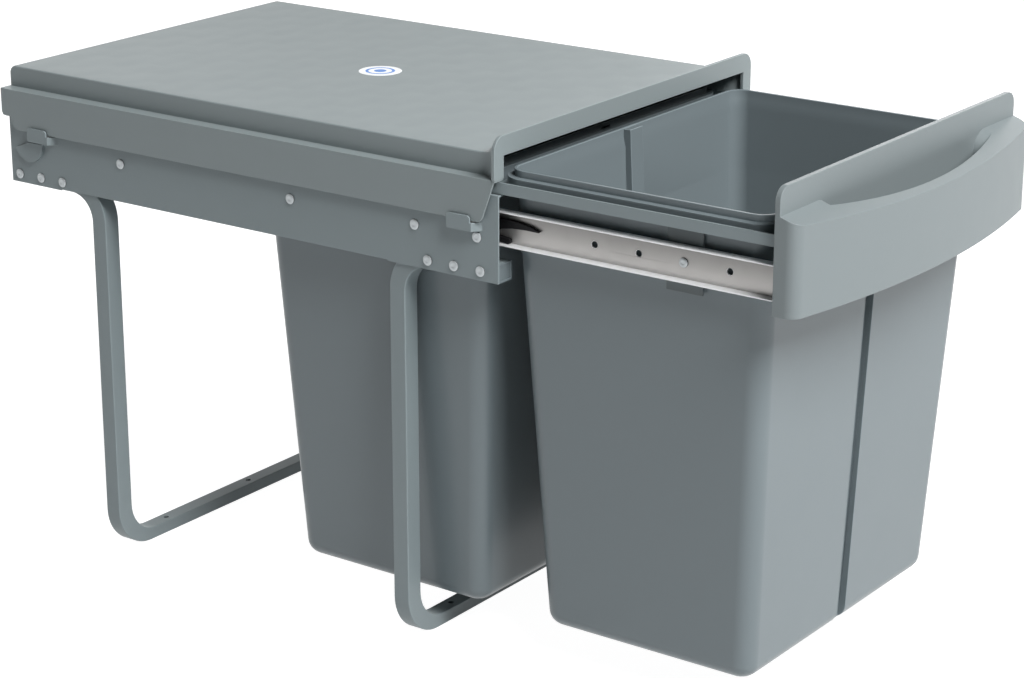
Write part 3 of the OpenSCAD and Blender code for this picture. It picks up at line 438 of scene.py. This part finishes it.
def fine_grain():
    """Fine even grain of powder coat or eroded moulding, as a height."""
    group, given, out = group_of(
        "Fine grain",
        [("Place", "NodeSocketVector", (0, 0, 0)), ("Scale", "NodeSocketFloat", 1400.0)],
        [("Height", "NodeSocketFloat")])
    if given is None:
        return group
    grain = noise_node(group, given.outputs["Place"], given.outputs["Scale"], detail=2.0, rough=0.6)
    group.links.new(grain, out.inputs["Height"])
    return group


def drawn_lines():
    """Long fine lines along Y, as rolling and drawing leave on strip steel, as a height."""
    group, given, out = group_of(
        "Drawn lines",
        [("Place", "NodeSocketVector", (0, 0, 0)), ("Scale", "NodeSocketFloat", 900.0)],
        [("Height", "NodeSocketFloat")])
    if given is None:
        return group
    stretch = group.nodes.new("ShaderNodeMapping")
    stretch.inputs["Scale"].default_value = (1.0, 0.012, 1.0)
    group.links.new(given.outputs["Place"], stretch.inputs["Vector"])
    lines = noise_node(group, stretch.outputs["Vector"], given.outputs["Scale"], detail=4.0, rough=0.7)
    group.links.new(lines, out.inputs["Height"])
    return group


class Finish:
    """One material: a Principled shader fed by the shared groups."""

    def __init__(self, name, base, rough, metallic=0.0, specular=0.5):
        self.material = bpy.data.materials.new(name)
        self.material.use_nodes = True
        self.material.diffuse_color = (*base, 1)
        self.tree = self.material.node_tree
        self.shader = self.tree.nodes["Principled BSDF"]
        self.shader.inputs["Metallic"].default_value = metallic
        self.shader.inputs["Specular IOR Level"].default_value = specular
        self.place = self.tree.nodes.new("ShaderNodeTexCoord").outputs["Object"]
        self.base = (*base, 1)
        self.rough = rough
        self.tone = None

    def group(self, tree, **values):
        """A shared group in this material, with its inputs set."""
        node = self.tree.nodes.new("ShaderNodeGroup")
        node.node_tree = tree
        self.tree.links.new(self.place, node.inputs["Place"])
        for label, value in values.items():
            node.inputs[label].default_value = value
        return node

    def feed(self, socket, label):
        """Links a socket to an input of the shader."""
        self.tree.links.new(socket, self.shader.inputs[label])

    def drift(self, scale, amount, rub):
        """Feeds the colour and the roughness, with a slow change of tone and rubbed patches."""
        node = self.group(tone_drift(), Colour=self.base, Scale=scale, Amount=amount,
                          Roughness=self.rough, Rub=rub)
        self.tone = node.outputs["Colour"]
        self.feed(self.tone, "Base Color")
        self.feed(node.outputs["Roughness"], "Roughness")
        return self

    def shade_by_height(self, low, high, share):
        """Paints light and shade by height: scales the colour by a share at the height low, which falls by
        one up to the height high.
        """
        parts = self.tree.nodes.new("ShaderNodeSeparateXYZ")
        self.tree.links.new(self.place, parts.inputs[0])
        rise = math_node(self.tree, "SUBTRACT", parts.outputs["Z"], low)
        rise = math_node(self.tree, "DIVIDE", rise, high - low)
        self.tone = scale_colour(self.tree, self.tone, math_node(self.tree, "SUBTRACT", share, rise))
        self.feed(self.tone, "Base Color")
        return self

    def bump(self, tree, scale, distance):
        """Gives the surface the height of a shared group."""
        node = self.tree.nodes.new("ShaderNodeBump")
        node.inputs["Distance"].default_value = distance
        self.tree.links.new(self.group(tree, Scale=scale).outputs["Height"], node.inputs["Height"])
        self.feed(node.outputs["Normal"], "Normal")
        return self


def powder_paint(name, base, rough=0.46):
    finish = Finish(name, base, rough, specular=0.45).drift(scale=7.0, amount=0.05, rub=0.08)
    return finish.bump(fine_grain(), scale=850.0, distance=0.03 * MM).material


def moulding(name, base, rough, grain, specular=0.45):
    finish = Finish(name, base, rough, specular=specular).drift(scale=5.0, amount=0.05, rub=0.10)
    return finish.bump(fine_grain(), scale=grain, distance=0.01 * MM).material


def zinc_plate():
    """Zinc plating on the slides, with painted shade towards their upper edges and painted light towards
    their lower edges.
    """
    low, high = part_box("slide_drawer_member_left")
    finish = Finish("zinc plate", colours().zinc, 0.38, metallic=0.6)
    # Painted shade and light: the colour is 1.65 times as bright at the slide's lowest point and falls to
    # 0.65 times at its highest
    finish.drift(scale=22.0, amount=0.16, rub=0.22).shade_by_height(low[2], high[2], share=1.65)
    return finish.bump(drawn_lines(), scale=700.0, distance=0.012 * MM).material


def highlighted_zinc():
    """Near-white finish on the slides' upward faces, which include the ball tracks, and on their outer lips
    and rolled edges: a painted highlight.
    """
    finish = Finish("highlighted zinc", colours().track, 0.34, metallic=0.1)
    finish.drift(scale=60.0, amount=0.1, rub=0.15)
    return finish.bump(drawn_lines(), scale=500.0, distance=0.01 * MM).material


def plated(name, base, rough, metallic):
    finish = Finish(name, base, rough, metallic=metallic).drift(scale=160.0, amount=0.12, rub=0.2)
    return finish.bump(fine_grain(), scale=1600.0, distance=0.01 * MM).material


def printed(name, base, rough, amount):
    return Finish(name, base, rough).drift(scale=60.0, amount=amount, rub=0.05).material


def painted_light_tone(base, share):
    """The colour made lighter or darker by a share, for the painted highlights and painted shade."""
    return tuple(min(1.0, value * share) for value in base)


MATERIALS = {}


def material(name):
    """The finish of that name, made when it is first asked for."""
    shade = colours()
    makers = {
        "paint": lambda: powder_paint("powder paint", shade.paint),
        # Paler copy of the paint: painted highlight along the rounded edges
        "paint edge": lambda: powder_paint("powder paint edge highlight", painted_light_tone(shade.paint, 1.1), 0.42),
        # Darker copy of the frame paint: painted shade on the brackets under the ring and slides
        "bracket": lambda: powder_paint("shaded bracket paint", painted_light_tone(shade.paint, 0.5)),
        "bracket edge": lambda: powder_paint("shaded bracket paint edge", painted_light_tone(shade.paint, 0.5)),
        "lid": lambda: moulding("lid moulding", shade.lid, 0.44, 1100.0),
        # Paler copy of the lid plastic: painted highlight on the lid's rounded edges and on its side strips
        "lid edge": lambda: moulding("lid moulding highlight", painted_light_tone(shade.lid, 1.2), 0.38, 1100.0),
        "front": lambda: moulding("front moulding", shade.front, 0.42, 1100.0),
        "front edge": lambda: moulding("front moulding edge", shade.front, 0.38, 1100.0),
        "bins": lambda: moulding("bin moulding", shade.bins, 0.32, 900.0),
        # Paler copy of the bin plastic: painted highlight along the rims, lips and edges
        "bins edge": lambda: moulding("bin moulding edge highlight", painted_light_tone(shade.bins, 1.3), 0.3, 900.0),
        "caps": lambda: moulding("cap moulding", shade.bins, 0.5, 1300.0),
        # Paler copy of the cap plastic: painted highlight along the plugs' edges
        "caps edge": lambda: moulding("cap moulding edge highlight", painted_light_tone(shade.bins, 1.3), 0.45, 1300.0),
        "zinc": zinc_plate,
        "zinc edge": highlighted_zinc,
        "rivet": lambda: plated("plated rivet", shade.rivet, 0.45, 0.5),
        # Darker copy of the rivet plating: painted shade on the sides of the heads
        "rivet shaded side": lambda: plated("rivet shaded side", painted_light_tone(shade.rivet, 0.3), 0.5, 0.4),
        "balls": lambda: plated("ball steel", shade.rivet, 0.12, 1.0),
        "lever": lambda: moulding("lever moulding", shade.lever, 0.5, 1500.0, 0.15),
        # Paler copy of the lever plastic: painted highlight along the levers' edges
        "lever edge": lambda: moulding("lever moulding edge highlight", painted_light_tone(shade.lever, 2.0), 0.5, 1500.0, 0.2),
        "rubber": lambda: moulding("stop rubber", shade.rubber, 0.7, 2000.0),
        "film": lambda: printed("label film", shade.film, 0.3, 0.03),
        "ink": lambda: printed("label ink", shade.ink, 0.35, 0.05),
    }
    if name not in MATERIALS:
        MATERIALS[name] = makers[name]()
    return MATERIALS[name]


# Pieces


class BINFRAME_OT_side_panels(bpy.types.Operator):
    """Gives the folded side panels soft edges and powder paint"""

    bl_idname = "binframe.side_panels"
    bl_label = "Side panels"

    def execute(self, context):
        for side in ("left", "right"):
            node = "side_panel_" + side
            piece = copy_of_node(node, "panel_" + side, "paint")
            round_sharp_edges(piece, sizes().sheet_edge)
            smooth(piece)
            stand_in(piece, "frame_paint", node)
        return {"FINISHED"}


class BINFRAME_OT_leg_frames(bpy.types.Operator):
    """Rounds the long edges of the two bent tube frames"""

    bl_idname = "binframe.leg_frames"
    bl_label = "Leg frames"

    def execute(self, context):
        for end in ("front", "rear"):
            node = end + "_leg_frame"
            piece = copy_of_node(node, "tube_" + end, "paint")
            low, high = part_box(node)
            middle = (low[1] + high[1]) / 2

            def at_hole(edge):
                """True for the rims of the floor bar's screw holes and for the short edges of bends."""
                spot = (edge.verts[0].co + edge.verts[1].co) / 2
                aside = min(abs(spot.x), abs(abs(spot.x) - HOLE_REACH))
                on_rim = aside < HOLE_ROOM and abs(spot.y - middle) < HOLE_ROOM
                return on_rim or edge.calc_length() < HOLE_FACET

            round_sharp_edges(piece, sizes().tube_edge, segments=3, leave=at_hole)
            smooth(piece, angle=35)
            stand_in(piece, "frame_paint", node)
        return {"FINISHED"}


class BINFRAME_OT_end_plugs(bpy.types.Operator):
    """Models the plugs that close the tube ends, each with a sunk face"""

    bl_idname = "binframe.end_plugs"
    bl_label = "Tube end plugs"

    def execute(self, context):
        plugs = []
        for low, high in islands("tube_end_caps"):
            inward = 1 if low.y < 0 else -1
            outside = low.y if inward > 0 else high.y
            centre = ((low.x + high.x) / 2, outside + inward * PLUG_HEAD / 2, (low.z + high.z) / 2)
            drop_selection()
            bpy.ops.mesh.primitive_cube_add(size=1, location=centre,
                                            scale=(high.x - low.x, PLUG_HEAD, high.z - low.z))
            plug = context.active_object
            settle(plug)
            coat(plug, "caps")
            edit(plug)
            choose_faces(plug, lambda face: face.normal.y * inward > 0.9)
            bpy.ops.mesh.inset(thickness=PLUG_WALL)
            draw_out((0, inward * (high.y - low.y - PLUG_HEAD), 0))
            choose_faces(plug, lambda face: face.normal.y * inward < -0.9
                         and abs(face.calc_center_median().y - outside) < SAME_PLANE)
            bpy.ops.mesh.inset(thickness=PLUG_RIM)
            draw_out((0, inward * PLUG_SINK, 0))
            leave_edit()
            round_sharp_edges(plug, PLUG_EDGE)
            smooth(plug)
            plugs.append(plug)
        piece = join(plugs, "end_plugs")
        stand_in(piece, "cap_plastic", "tube_end_caps")
        return {"FINISHED"}


def model_rivet(radius, length):
    """A blind rivet that stands on z = 0: flat-topped head with a dimple, shank and formed tail below."""
    drop_selection()
    bpy.ops.mesh.primitive_circle_add(vertices=RIVET_SIDES, radius=radius, fill_type="NGON")
    rivet = bpy.context.active_object
    dimple = sizes().rivet_dimple
    edit(rivet)
    bpy.ops.mesh.select_all(action="SELECT")
    draw_round(radius, [(radius * share, rise * RIVET_HEAD) for share, rise in RIVET_PROFILE])
    draw_round(radius * RIVET_PROFILE[-1][0],
               [(dimple * share, rise * RIVET_HEAD) for share, rise in DIMPLE_PROFILE])
    bpy.ops.mesh.select_all(action="DESELECT")
    choose_faces(rivet, lambda face: face.normal.z < -0.9 and abs(face.calc_center_median().z) < SAME_PLANE)
    draw_round(radius, ((RIVET_SHANK, 0), (RIVET_SHANK, -length), (RIVET_TAIL, 0),
                        (RIVET_TAIL, -RIVET_TAIL_HEIGHT)))
    bpy.ops.mesh.select_all(action="SELECT")
    bpy.ops.mesh.remove_doubles(threshold=MERGE_DISTANCE)
    bpy.ops.mesh.normals_make_consistent(inside=False)
    leave_edit()
    smooth(rivet, angle=50)
    for name in ("rivet", "rivet shaded side"):
        rivet.data.materials.append(material(name))
    # The head's top keeps the plated finish; the sides and the faces that point down get the darker copy, a
    # painted shade
    for face in rivet.data.polygons:
        face.material_index = 0 if face.normal.z > 0.6 else 1
    return rivet


class BINFRAME_OT_rivets(bpy.types.Operator):
    """Models a blind rivet once and sets a copy in every riveted hole"""

    bl_idname = "binframe.rivets"
    bl_label = "Rivets"

    def execute(self, context):
        kinds = (("leg_rivets", LARGE_RIVET), ("slide_rivets", LARGE_RIVET), ("hanger_rivets", SMALL_RIVET))
        for node, radius in kinds:
            boxes = islands(node)
            depth = boxes[0][1].x - boxes[0][0].x
            master = model_rivet(radius, depth - RIVET_HEAD - RIVET_TAIL_HEIGHT)
            rivets = []
            for low, high in boxes:
                side = 1 if low.x + high.x > 0 else -1
                outside = high.x if side > 0 else low.x
                rivet = bpy.data.objects.new(node, master.data.copy())
                context.scene.collection.objects.link(rivet)
                rivet.rotation_euler = (0, side * pi / 2, 0)
                rivet.location = (outside - side * RIVET_HEAD, (low.y + high.y) / 2, (low.z + high.z) / 2)
                rivets.append(rivet)
                settle(rivet)
            bpy.data.objects.remove(master)
            piece = join(rivets, node.replace("_", "_blind_"))
            stand_in(piece, "rivet_zinc", node)
        return {"FINISHED"}


class BINFRAME_OT_slides(bpy.types.Operator):
    """Rolls the edges of the drawer members and finishes the slides in zinc"""

    bl_idname = "binframe.slides"
    bl_label = "Ball slides"

    def burnish(self, piece, node):
        """Gives the upward faces and the outer lips of a drawer member the near-white finish, a painted
        highlight.
        """
        low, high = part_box(node)
        outside = max(abs(low[0]), abs(high[0]))
        for face in piece.data.polygons:
            # Upward faces and outer lips take the near-white finish, a painted highlight
            track = face.normal.z > 0.9
            lip = abs(face.normal.x) > 0.9 and abs(face.center.x) > outside - SAME_PLANE
            face.material_index = 1 if track or lip else 0

    def execute(self, context):
        for side in ("left", "right"):
            for part in ("drawer", "middle", "cabinet"):
                node = "slide_%s_member_%s" % (part, side)
                piece = copy_of_node(node, "%s_rail_%s" % (part, side), "zinc")
                if part == "drawer":
                    self.burnish(piece, node)
                round_sharp_edges(piece, sizes().slide_edge)
                smooth(piece)
                stand_in(piece, "zinc_slide", node)
            for part in ("outer", "inner"):
                finish_node("%s_ball_cage_%s" % (part, side), "zinc")
        finish_node("outer_balls", "balls")
        finish_node("inner_balls", "balls")
        finish_node("slide_bumpers", "rubber")
        return {"FINISHED"}


class BINFRAME_OT_carriage(bpy.types.Operator):
    """Softens the carriage ring and its brackets and paints them"""

    bl_idname = "binframe.carriage"
    bl_label = "Carriage"

    def execute(self, context):
        for node in ("carriage_ring", "hanger_brackets", "front_brackets"):
            # The brackets take a darker copy of the frame paint, a painted shade
            finish = "paint" if node == "carriage_ring" else "bracket"
            piece = copy_of_node(node, node + "_steel", finish)
            round_sharp_edges(piece, sizes().sheet_edge)
            smooth(piece)
            stand_in(piece, "frame_paint", node)
        finish_node("handle_screws", "rivet")
        return {"FINISHED"}


class BINFRAME_OT_levers(bpy.types.Operator):
    """Softens the black release levers and finishes their pins"""

    bl_idname = "binframe.levers"
    bl_label = "Release levers"

    def execute(self, context):
        for side in ("left", "right"):
            node = "release_lever_" + side
            piece = copy_of_node(node, "lever_" + side + "_tongue", "lever")
            round_sharp_edges(piece, LEVER_EDGE)
            smooth(piece)
            stand_in(piece, "black_plastic", node)
        finish_node("lever_pins", "rivet")
        return {"FINISHED"}


class BINFRAME_OT_handle_front(bpy.types.Operator):
    """Softens the edges of the moulded front with its bow and finger pocket"""

    bl_idname = "binframe.handle_front"
    bl_label = "Handle front"

    def execute(self, context):
        piece = copy_of_node("handle_front", "bow_front", "front")
        round_sharp_edges(piece, sizes().front_edge, segments=3, sharpness=38)
        smooth(piece, angle=30)
        stand_in(piece, "front_plastic", "handle_front")
        return {"FINISHED"}


class BINFRAME_OT_bins(bpy.types.Operator):
    """Smooths the walls of the bins and softens their rims, lips and grooves"""

    bl_idname = "binframe.bins"
    bl_label = "Bins"

    def execute(self, context):
        for node in ("front_bin", "rear_bin"):
            piece = copy_of_node(node, node + "_shell", "bins")
            round_sharp_edges(piece, sizes().bin_edge, sharpness=50)
            smooth(piece, angle=30)
            stand_in(piece, "bin_plastic", node)
        return {"FINISHED"}


def scale_height(x, y):
    """Height from 0 to 1 of the lid's scales: long arches in rows, every other row half a scale on."""
    across = y / SCALE_ROW
    along = x / SCALE_LENGTH + (0.5 if floor(across) % 2 else 0.0)
    return (along % 1.0) * (1 - along % 1.0) * 4 * (across % 1.0) * (1 - across % 1.0) * 4


class BINFRAME_OT_lid(bpy.types.Operator):
    """Softens the edges of the moulded lid and raises the shallow scales on its top"""

    bl_idname = "binframe.lid"
    bl_label = "Lid"

    def grid_of_top(self, piece):
        """Cuts the flat top into a fine grid and gives its vertices."""
        label_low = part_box("lid_label")[0]
        edit(piece)
        choose_faces(piece, lambda face: face.normal.z > 0.99
                     and abs(face.calc_center_median().z - label_low[2]) < SAME_PLANE)
        bpy.ops.mesh.inset(thickness=SCALE_BORDER)
        bpy.ops.mesh.subdivide(number_cuts=SCALE_CUTS)
        leave_edit()
        return [vertex for vertex in piece.data.vertices if vertex.select]

    def raise_scales(self, piece):
        """Raises the scales, which fade out at the top's border and around the label."""
        low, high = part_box("lid_label")
        centre = Vector(((low[0] + high[0]) / 2, (low[1] + high[1]) / 2))
        radius = (high[0] - low[0]) / 2 + LABEL_ROOM
        grid = self.grid_of_top(piece)
        left, right = min(vertex.co.x for vertex in grid), max(vertex.co.x for vertex in grid)
        front, rear = min(vertex.co.y for vertex in grid), max(vertex.co.y for vertex in grid)
        heights = piece.vertex_groups.new(name="scales")
        for vertex in grid:
            x, y = vertex.co[:2]
            from_label = (Vector((x, y)) - centre).length - radius
            room = min(x - left, right - x, y - front, rear - y, from_label)
            share = max(0.0, min(1.0, room / SCALE_FADE))
            heights.add([vertex.index], scale_height(x, y) * share, "REPLACE")
        pick(piece)
        bpy.ops.object.modifier_add(type="DISPLACE")
        press = piece.modifiers[-1]
        press.direction = "Z"
        press.mid_level = 0.0
        press.strength = sizes().relief_depth
        press.vertex_group = heights.name
        bpy.ops.object.modifier_apply(modifier=press.name)
        piece.vertex_groups.clear()

    def execute(self, context):
        piece = copy_of_node("lid", "lid_shell", "lid")
        low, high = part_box("lid")

        def behind_portal(edge):
            """True for the edges of the portal's rear face and of the sweep from it to the lid's walls."""
            depths = [vertex.co.y - low[1] for vertex in edge.verts]
            on_rear_face = min(abs(depth - PORTAL_DEPTH) for depth in depths) < PORTAL_ROOM
            in_sweep = max(depths) > SWEEP_START and min(depths) < SWEEP_END
            return on_rear_face or (in_sweep and max(end.co.z for end in edge.verts) > high[2] - SWEEP_DROP)

        # The upward strips beside the raised top take the paler finish, a painted highlight
        for face in piece.data.polygons:
            drop = high[2] - face.center.z
            painted_light_strip = face.normal.z > 0.95 and STRIP_TOP < drop < STRIP_BOTTOM
            face.material_index = 1 if painted_light_strip else 0
        round_sharp_edges(piece, sizes().lid_edge, sharpness=50, leave=behind_portal)
        self.raise_scales(piece)
        smooth(piece, angle=30)
        stand_in(piece, "lid_plastic", "lid")
        return {"FINISHED"}


class BINFRAME_OT_label(bpy.types.Operator):
    """Models the round label with a plain ring and dot inked on it"""

    bl_idname = "binframe.label"
    bl_label = "Round label"

    def execute(self, context):
        low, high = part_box("lid_label")
        centre = Vector(((low[0] + high[0]) / 2, (low[1] + high[1]) / 2, high[2]))
        radius = (high[0] - low[0]) / 2
        thickness = high[2] - low[2]
        wall = LABEL_WALL * thickness
        drop_selection()
        bpy.ops.mesh.primitive_circle_add(vertices=LABEL_SIDES, radius=radius, fill_type="NGON",
                                          location=(centre.x, centre.y, low[2]))
        piece = context.active_object
        piece.name = piece.data.name = "round_label"
        settle(piece)
        edit(piece)
        bpy.ops.mesh.select_all(action="SELECT")
        draw_out((0, 0, wall))
        bpy.ops.mesh.inset(thickness=LABEL_ROUND, depth=thickness - wall)
        for step in (1 - RING_OUTSIDE, RING_OUTSIDE - RING_INSIDE, RING_INSIDE - DOT):
            bpy.ops.mesh.inset(thickness=radius * step)
        bpy.ops.mesh.select_all(action="SELECT")
        bpy.ops.mesh.normals_make_consistent(inside=False)
        leave_edit()
        stand_in(piece, "label_film", "lid_label")
        for name in ("film", "ink"):
            piece.data.materials.append(material(name))
        for face in piece.data.polygons:
            away = (face.center - centre).length / radius
            inked = RING_INSIDE < away < RING_OUTSIDE or away < DOT / 2
            face.material_index = 1 if face.normal.z > 0.9 and inked else 0
        return {"FINISHED"}


# Stage


def ray_mask(tree, *kinds):
    """1 for rays of the named kinds, and 0 for the others."""
    rays = tree.nodes.new("ShaderNodeLightPath")
    mask = rays.outputs["Is %s Ray" % kinds[0]]
    for kind in kinds[1:]:
        mask = math_node(tree, "MAXIMUM", mask, rays.outputs["Is %s Ray" % kind])
    return mask


def mix_shaders(tree, mask, where_off, where_on):
    mix = tree.nodes.new("ShaderNodeMixShader")
    for socket, source in zip(mix.inputs, (mask, where_off, where_on)):
        tree.links.new(source, socket)
    return mix.outputs[0]


def floor_material():
    """A pale floor that lights the object softly and is seen as white."""
    finish = bpy.data.materials.new("pale studio floor")
    finish.use_nodes = True
    tree = finish.node_tree
    tree.nodes.clear()
    out = tree.nodes.new("ShaderNodeOutputMaterial")
    plain = tree.nodes.new("ShaderNodeBsdfDiffuse")
    plain.inputs["Color"].default_value = (*colours().floor, 1)
    seen = tree.nodes.new("ShaderNodeBsdfDiffuse")
    seen.inputs["Color"].default_value = SEEN_FLOOR
    glow = tree.nodes.new("ShaderNodeEmission")
    glow.inputs["Strength"].default_value = FLOOR_GLOW
    both = tree.nodes.new("ShaderNodeAddShader")
    tree.links.new(seen.outputs[0], both.inputs[0])
    tree.links.new(glow.outputs[0], both.inputs[1])
    mask = ray_mask(tree, "Camera", "Transmission", "Glossy")
    tree.links.new(mix_shaders(tree, mask, plain.outputs[0], both.outputs[0]), out.inputs["Surface"])
    return finish


def area_light(name, place, size, power):
    data = bpy.data.lights.new(name, "AREA")
    data.shape = "RECTANGLE"
    data.size, data.size_y = size
    data.energy = power
    light = bpy.data.objects.new(name, data)
    bpy.context.scene.collection.objects.link(light)
    light.location = place
    light.rotation_euler = (Vector(LIGHTS_AIM) - Vector(place)).to_track_quat("-Z", "Y").to_euler()


class BINFRAME_OT_stage(bpy.types.Operator):
    """Sets up the floor, the soft lights, the world and the camera"""

    bl_idname = "binframe.stage"
    bl_label = "Stage"

    def set_floor(self, context):
        """A floor that turns up into a backdrop on the two sides away from the camera."""
        drop_selection()
        bpy.ops.mesh.primitive_plane_add(size=FLOOR_WIDTH, location=(0, 0, -FLOOR_DROP))
        ground = context.active_object
        ground.name = ground.data.name = "studio_floor"
        settle(ground)
        edit(ground, "EDGE")
        shape = bmesh.from_edit_mesh(ground.data)
        for edge in shape.edges:
            edge.select_set(any(all(end.co[axis] > 0 for end in edge.verts) for axis in (0, 1)))
        bmesh.update_edit_mesh(ground.data)
        draw_out((0, 0, BACKDROP_HEIGHT))
        leave_edit()
        ground.data.materials.append(floor_material())

    def set_world(self, scene):
        """A world of weak light that the camera sees as white."""
        world = bpy.data.worlds.new("studio world")
        scene.world = world
        world.use_nodes = True
        tree = world.node_tree
        soft = tree.nodes["Background"]
        white = tree.nodes.new("ShaderNodeBackground")
        for background, strength in ((soft, WORLD_STRENGTH), (white, 1.0)):
            background.inputs["Color"].default_value = (1, 1, 1, 1)
            background.inputs["Strength"].default_value = strength
        mask = ray_mask(tree, "Camera", "Transmission")
        mix = mix_shaders(tree, mask, soft.outputs[0], white.outputs[0])
        tree.links.new(mix, tree.nodes["World Output"].inputs["Surface"])

    def set_camera(self, scene):
        """The camera at the photograph's place, with the photograph's view."""
        lens = bpy.data.cameras.new("photo camera")
        lens.sensor_width = SENSOR_WIDTH
        lens.lens = SENSOR_WIDTH * FOCAL_PIXELS / PHOTO_WIDTH
        lens.clip_end = CAMERA_REACH
        camera = bpy.data.objects.new("photo camera", lens)
        scene.collection.objects.link(camera)
        camera.location = CAMERA_PLACE
        camera.rotation_euler = (pi / 2 - CAMERA_DIP, 0, CAMERA_TURN)
        scene.camera = camera
        scene.view_settings.view_transform = "Standard"

    def execute(self, context):
        self.set_floor(context)
        self.set_world(context.scene)
        for name, values in LIGHTS.items():
            area_light(name, **values)
        self.set_camera(context.scene)
        return {"FINISHED"}


PIECES = (
    BINFRAME_OT_side_panels,
    BINFRAME_OT_leg_frames,
    BINFRAME_OT_end_plugs,
    BINFRAME_OT_rivets,
    BINFRAME_OT_slides,
    BINFRAME_OT_carriage,
    BINFRAME_OT_levers,
    BINFRAME_OT_handle_front,
    BINFRAME_OT_bins,
    BINFRAME_OT_lid,
    BINFRAME_OT_label,
    BINFRAME_OT_stage,
)


class BINFRAME_PT_sidebar(bpy.types.Panel):
    """Lists the sizes, the colours and the pieces"""

    bl_idname = "BINFRAME_PT_sidebar"
    bl_label = "Bin frame"
    bl_space_type = "VIEW_3D"
    bl_region_type = "UI"
    bl_category = "Bin frame"

    def draw(self, context):
        layout = self.layout
        for group in (context.scene.bin_frame_sizes, context.scene.bin_frame_colours):
            column = layout.column(align=True)
            for name in group.bl_rna.properties.keys():
                if name not in ("rna_type", "name"):
                    column.prop(group, name)
        for piece in PIECES:
            layout.operator(piece.bl_idname)


CLASSES = (BinFrameSizes, BinFrameColours, BINFRAME_PT_sidebar) + PIECES


def register():
    for entry in CLASSES:
        bpy.utils.register_class(entry)
    bpy.types.Scene.bin_frame_sizes = bpy.props.PointerProperty(type=BinFrameSizes)
    bpy.types.Scene.bin_frame_colours = bpy.props.PointerProperty(type=BinFrameColours)


def unregister():
    del bpy.types.Scene.bin_frame_colours
    del bpy.types.Scene.bin_frame_sizes
    for entry in reversed(CLASSES):
        bpy.utils.unregister_class(entry)


def main():
    register()
    for piece in PIECES:
        name = piece.bl_idname.split(".")[1]
        if getattr(bpy.ops.binframe, name)() != {"FINISHED"}:
            raise RuntimeError("the piece %s was not finished" % name)


if __name__ == "__main__":
    main()
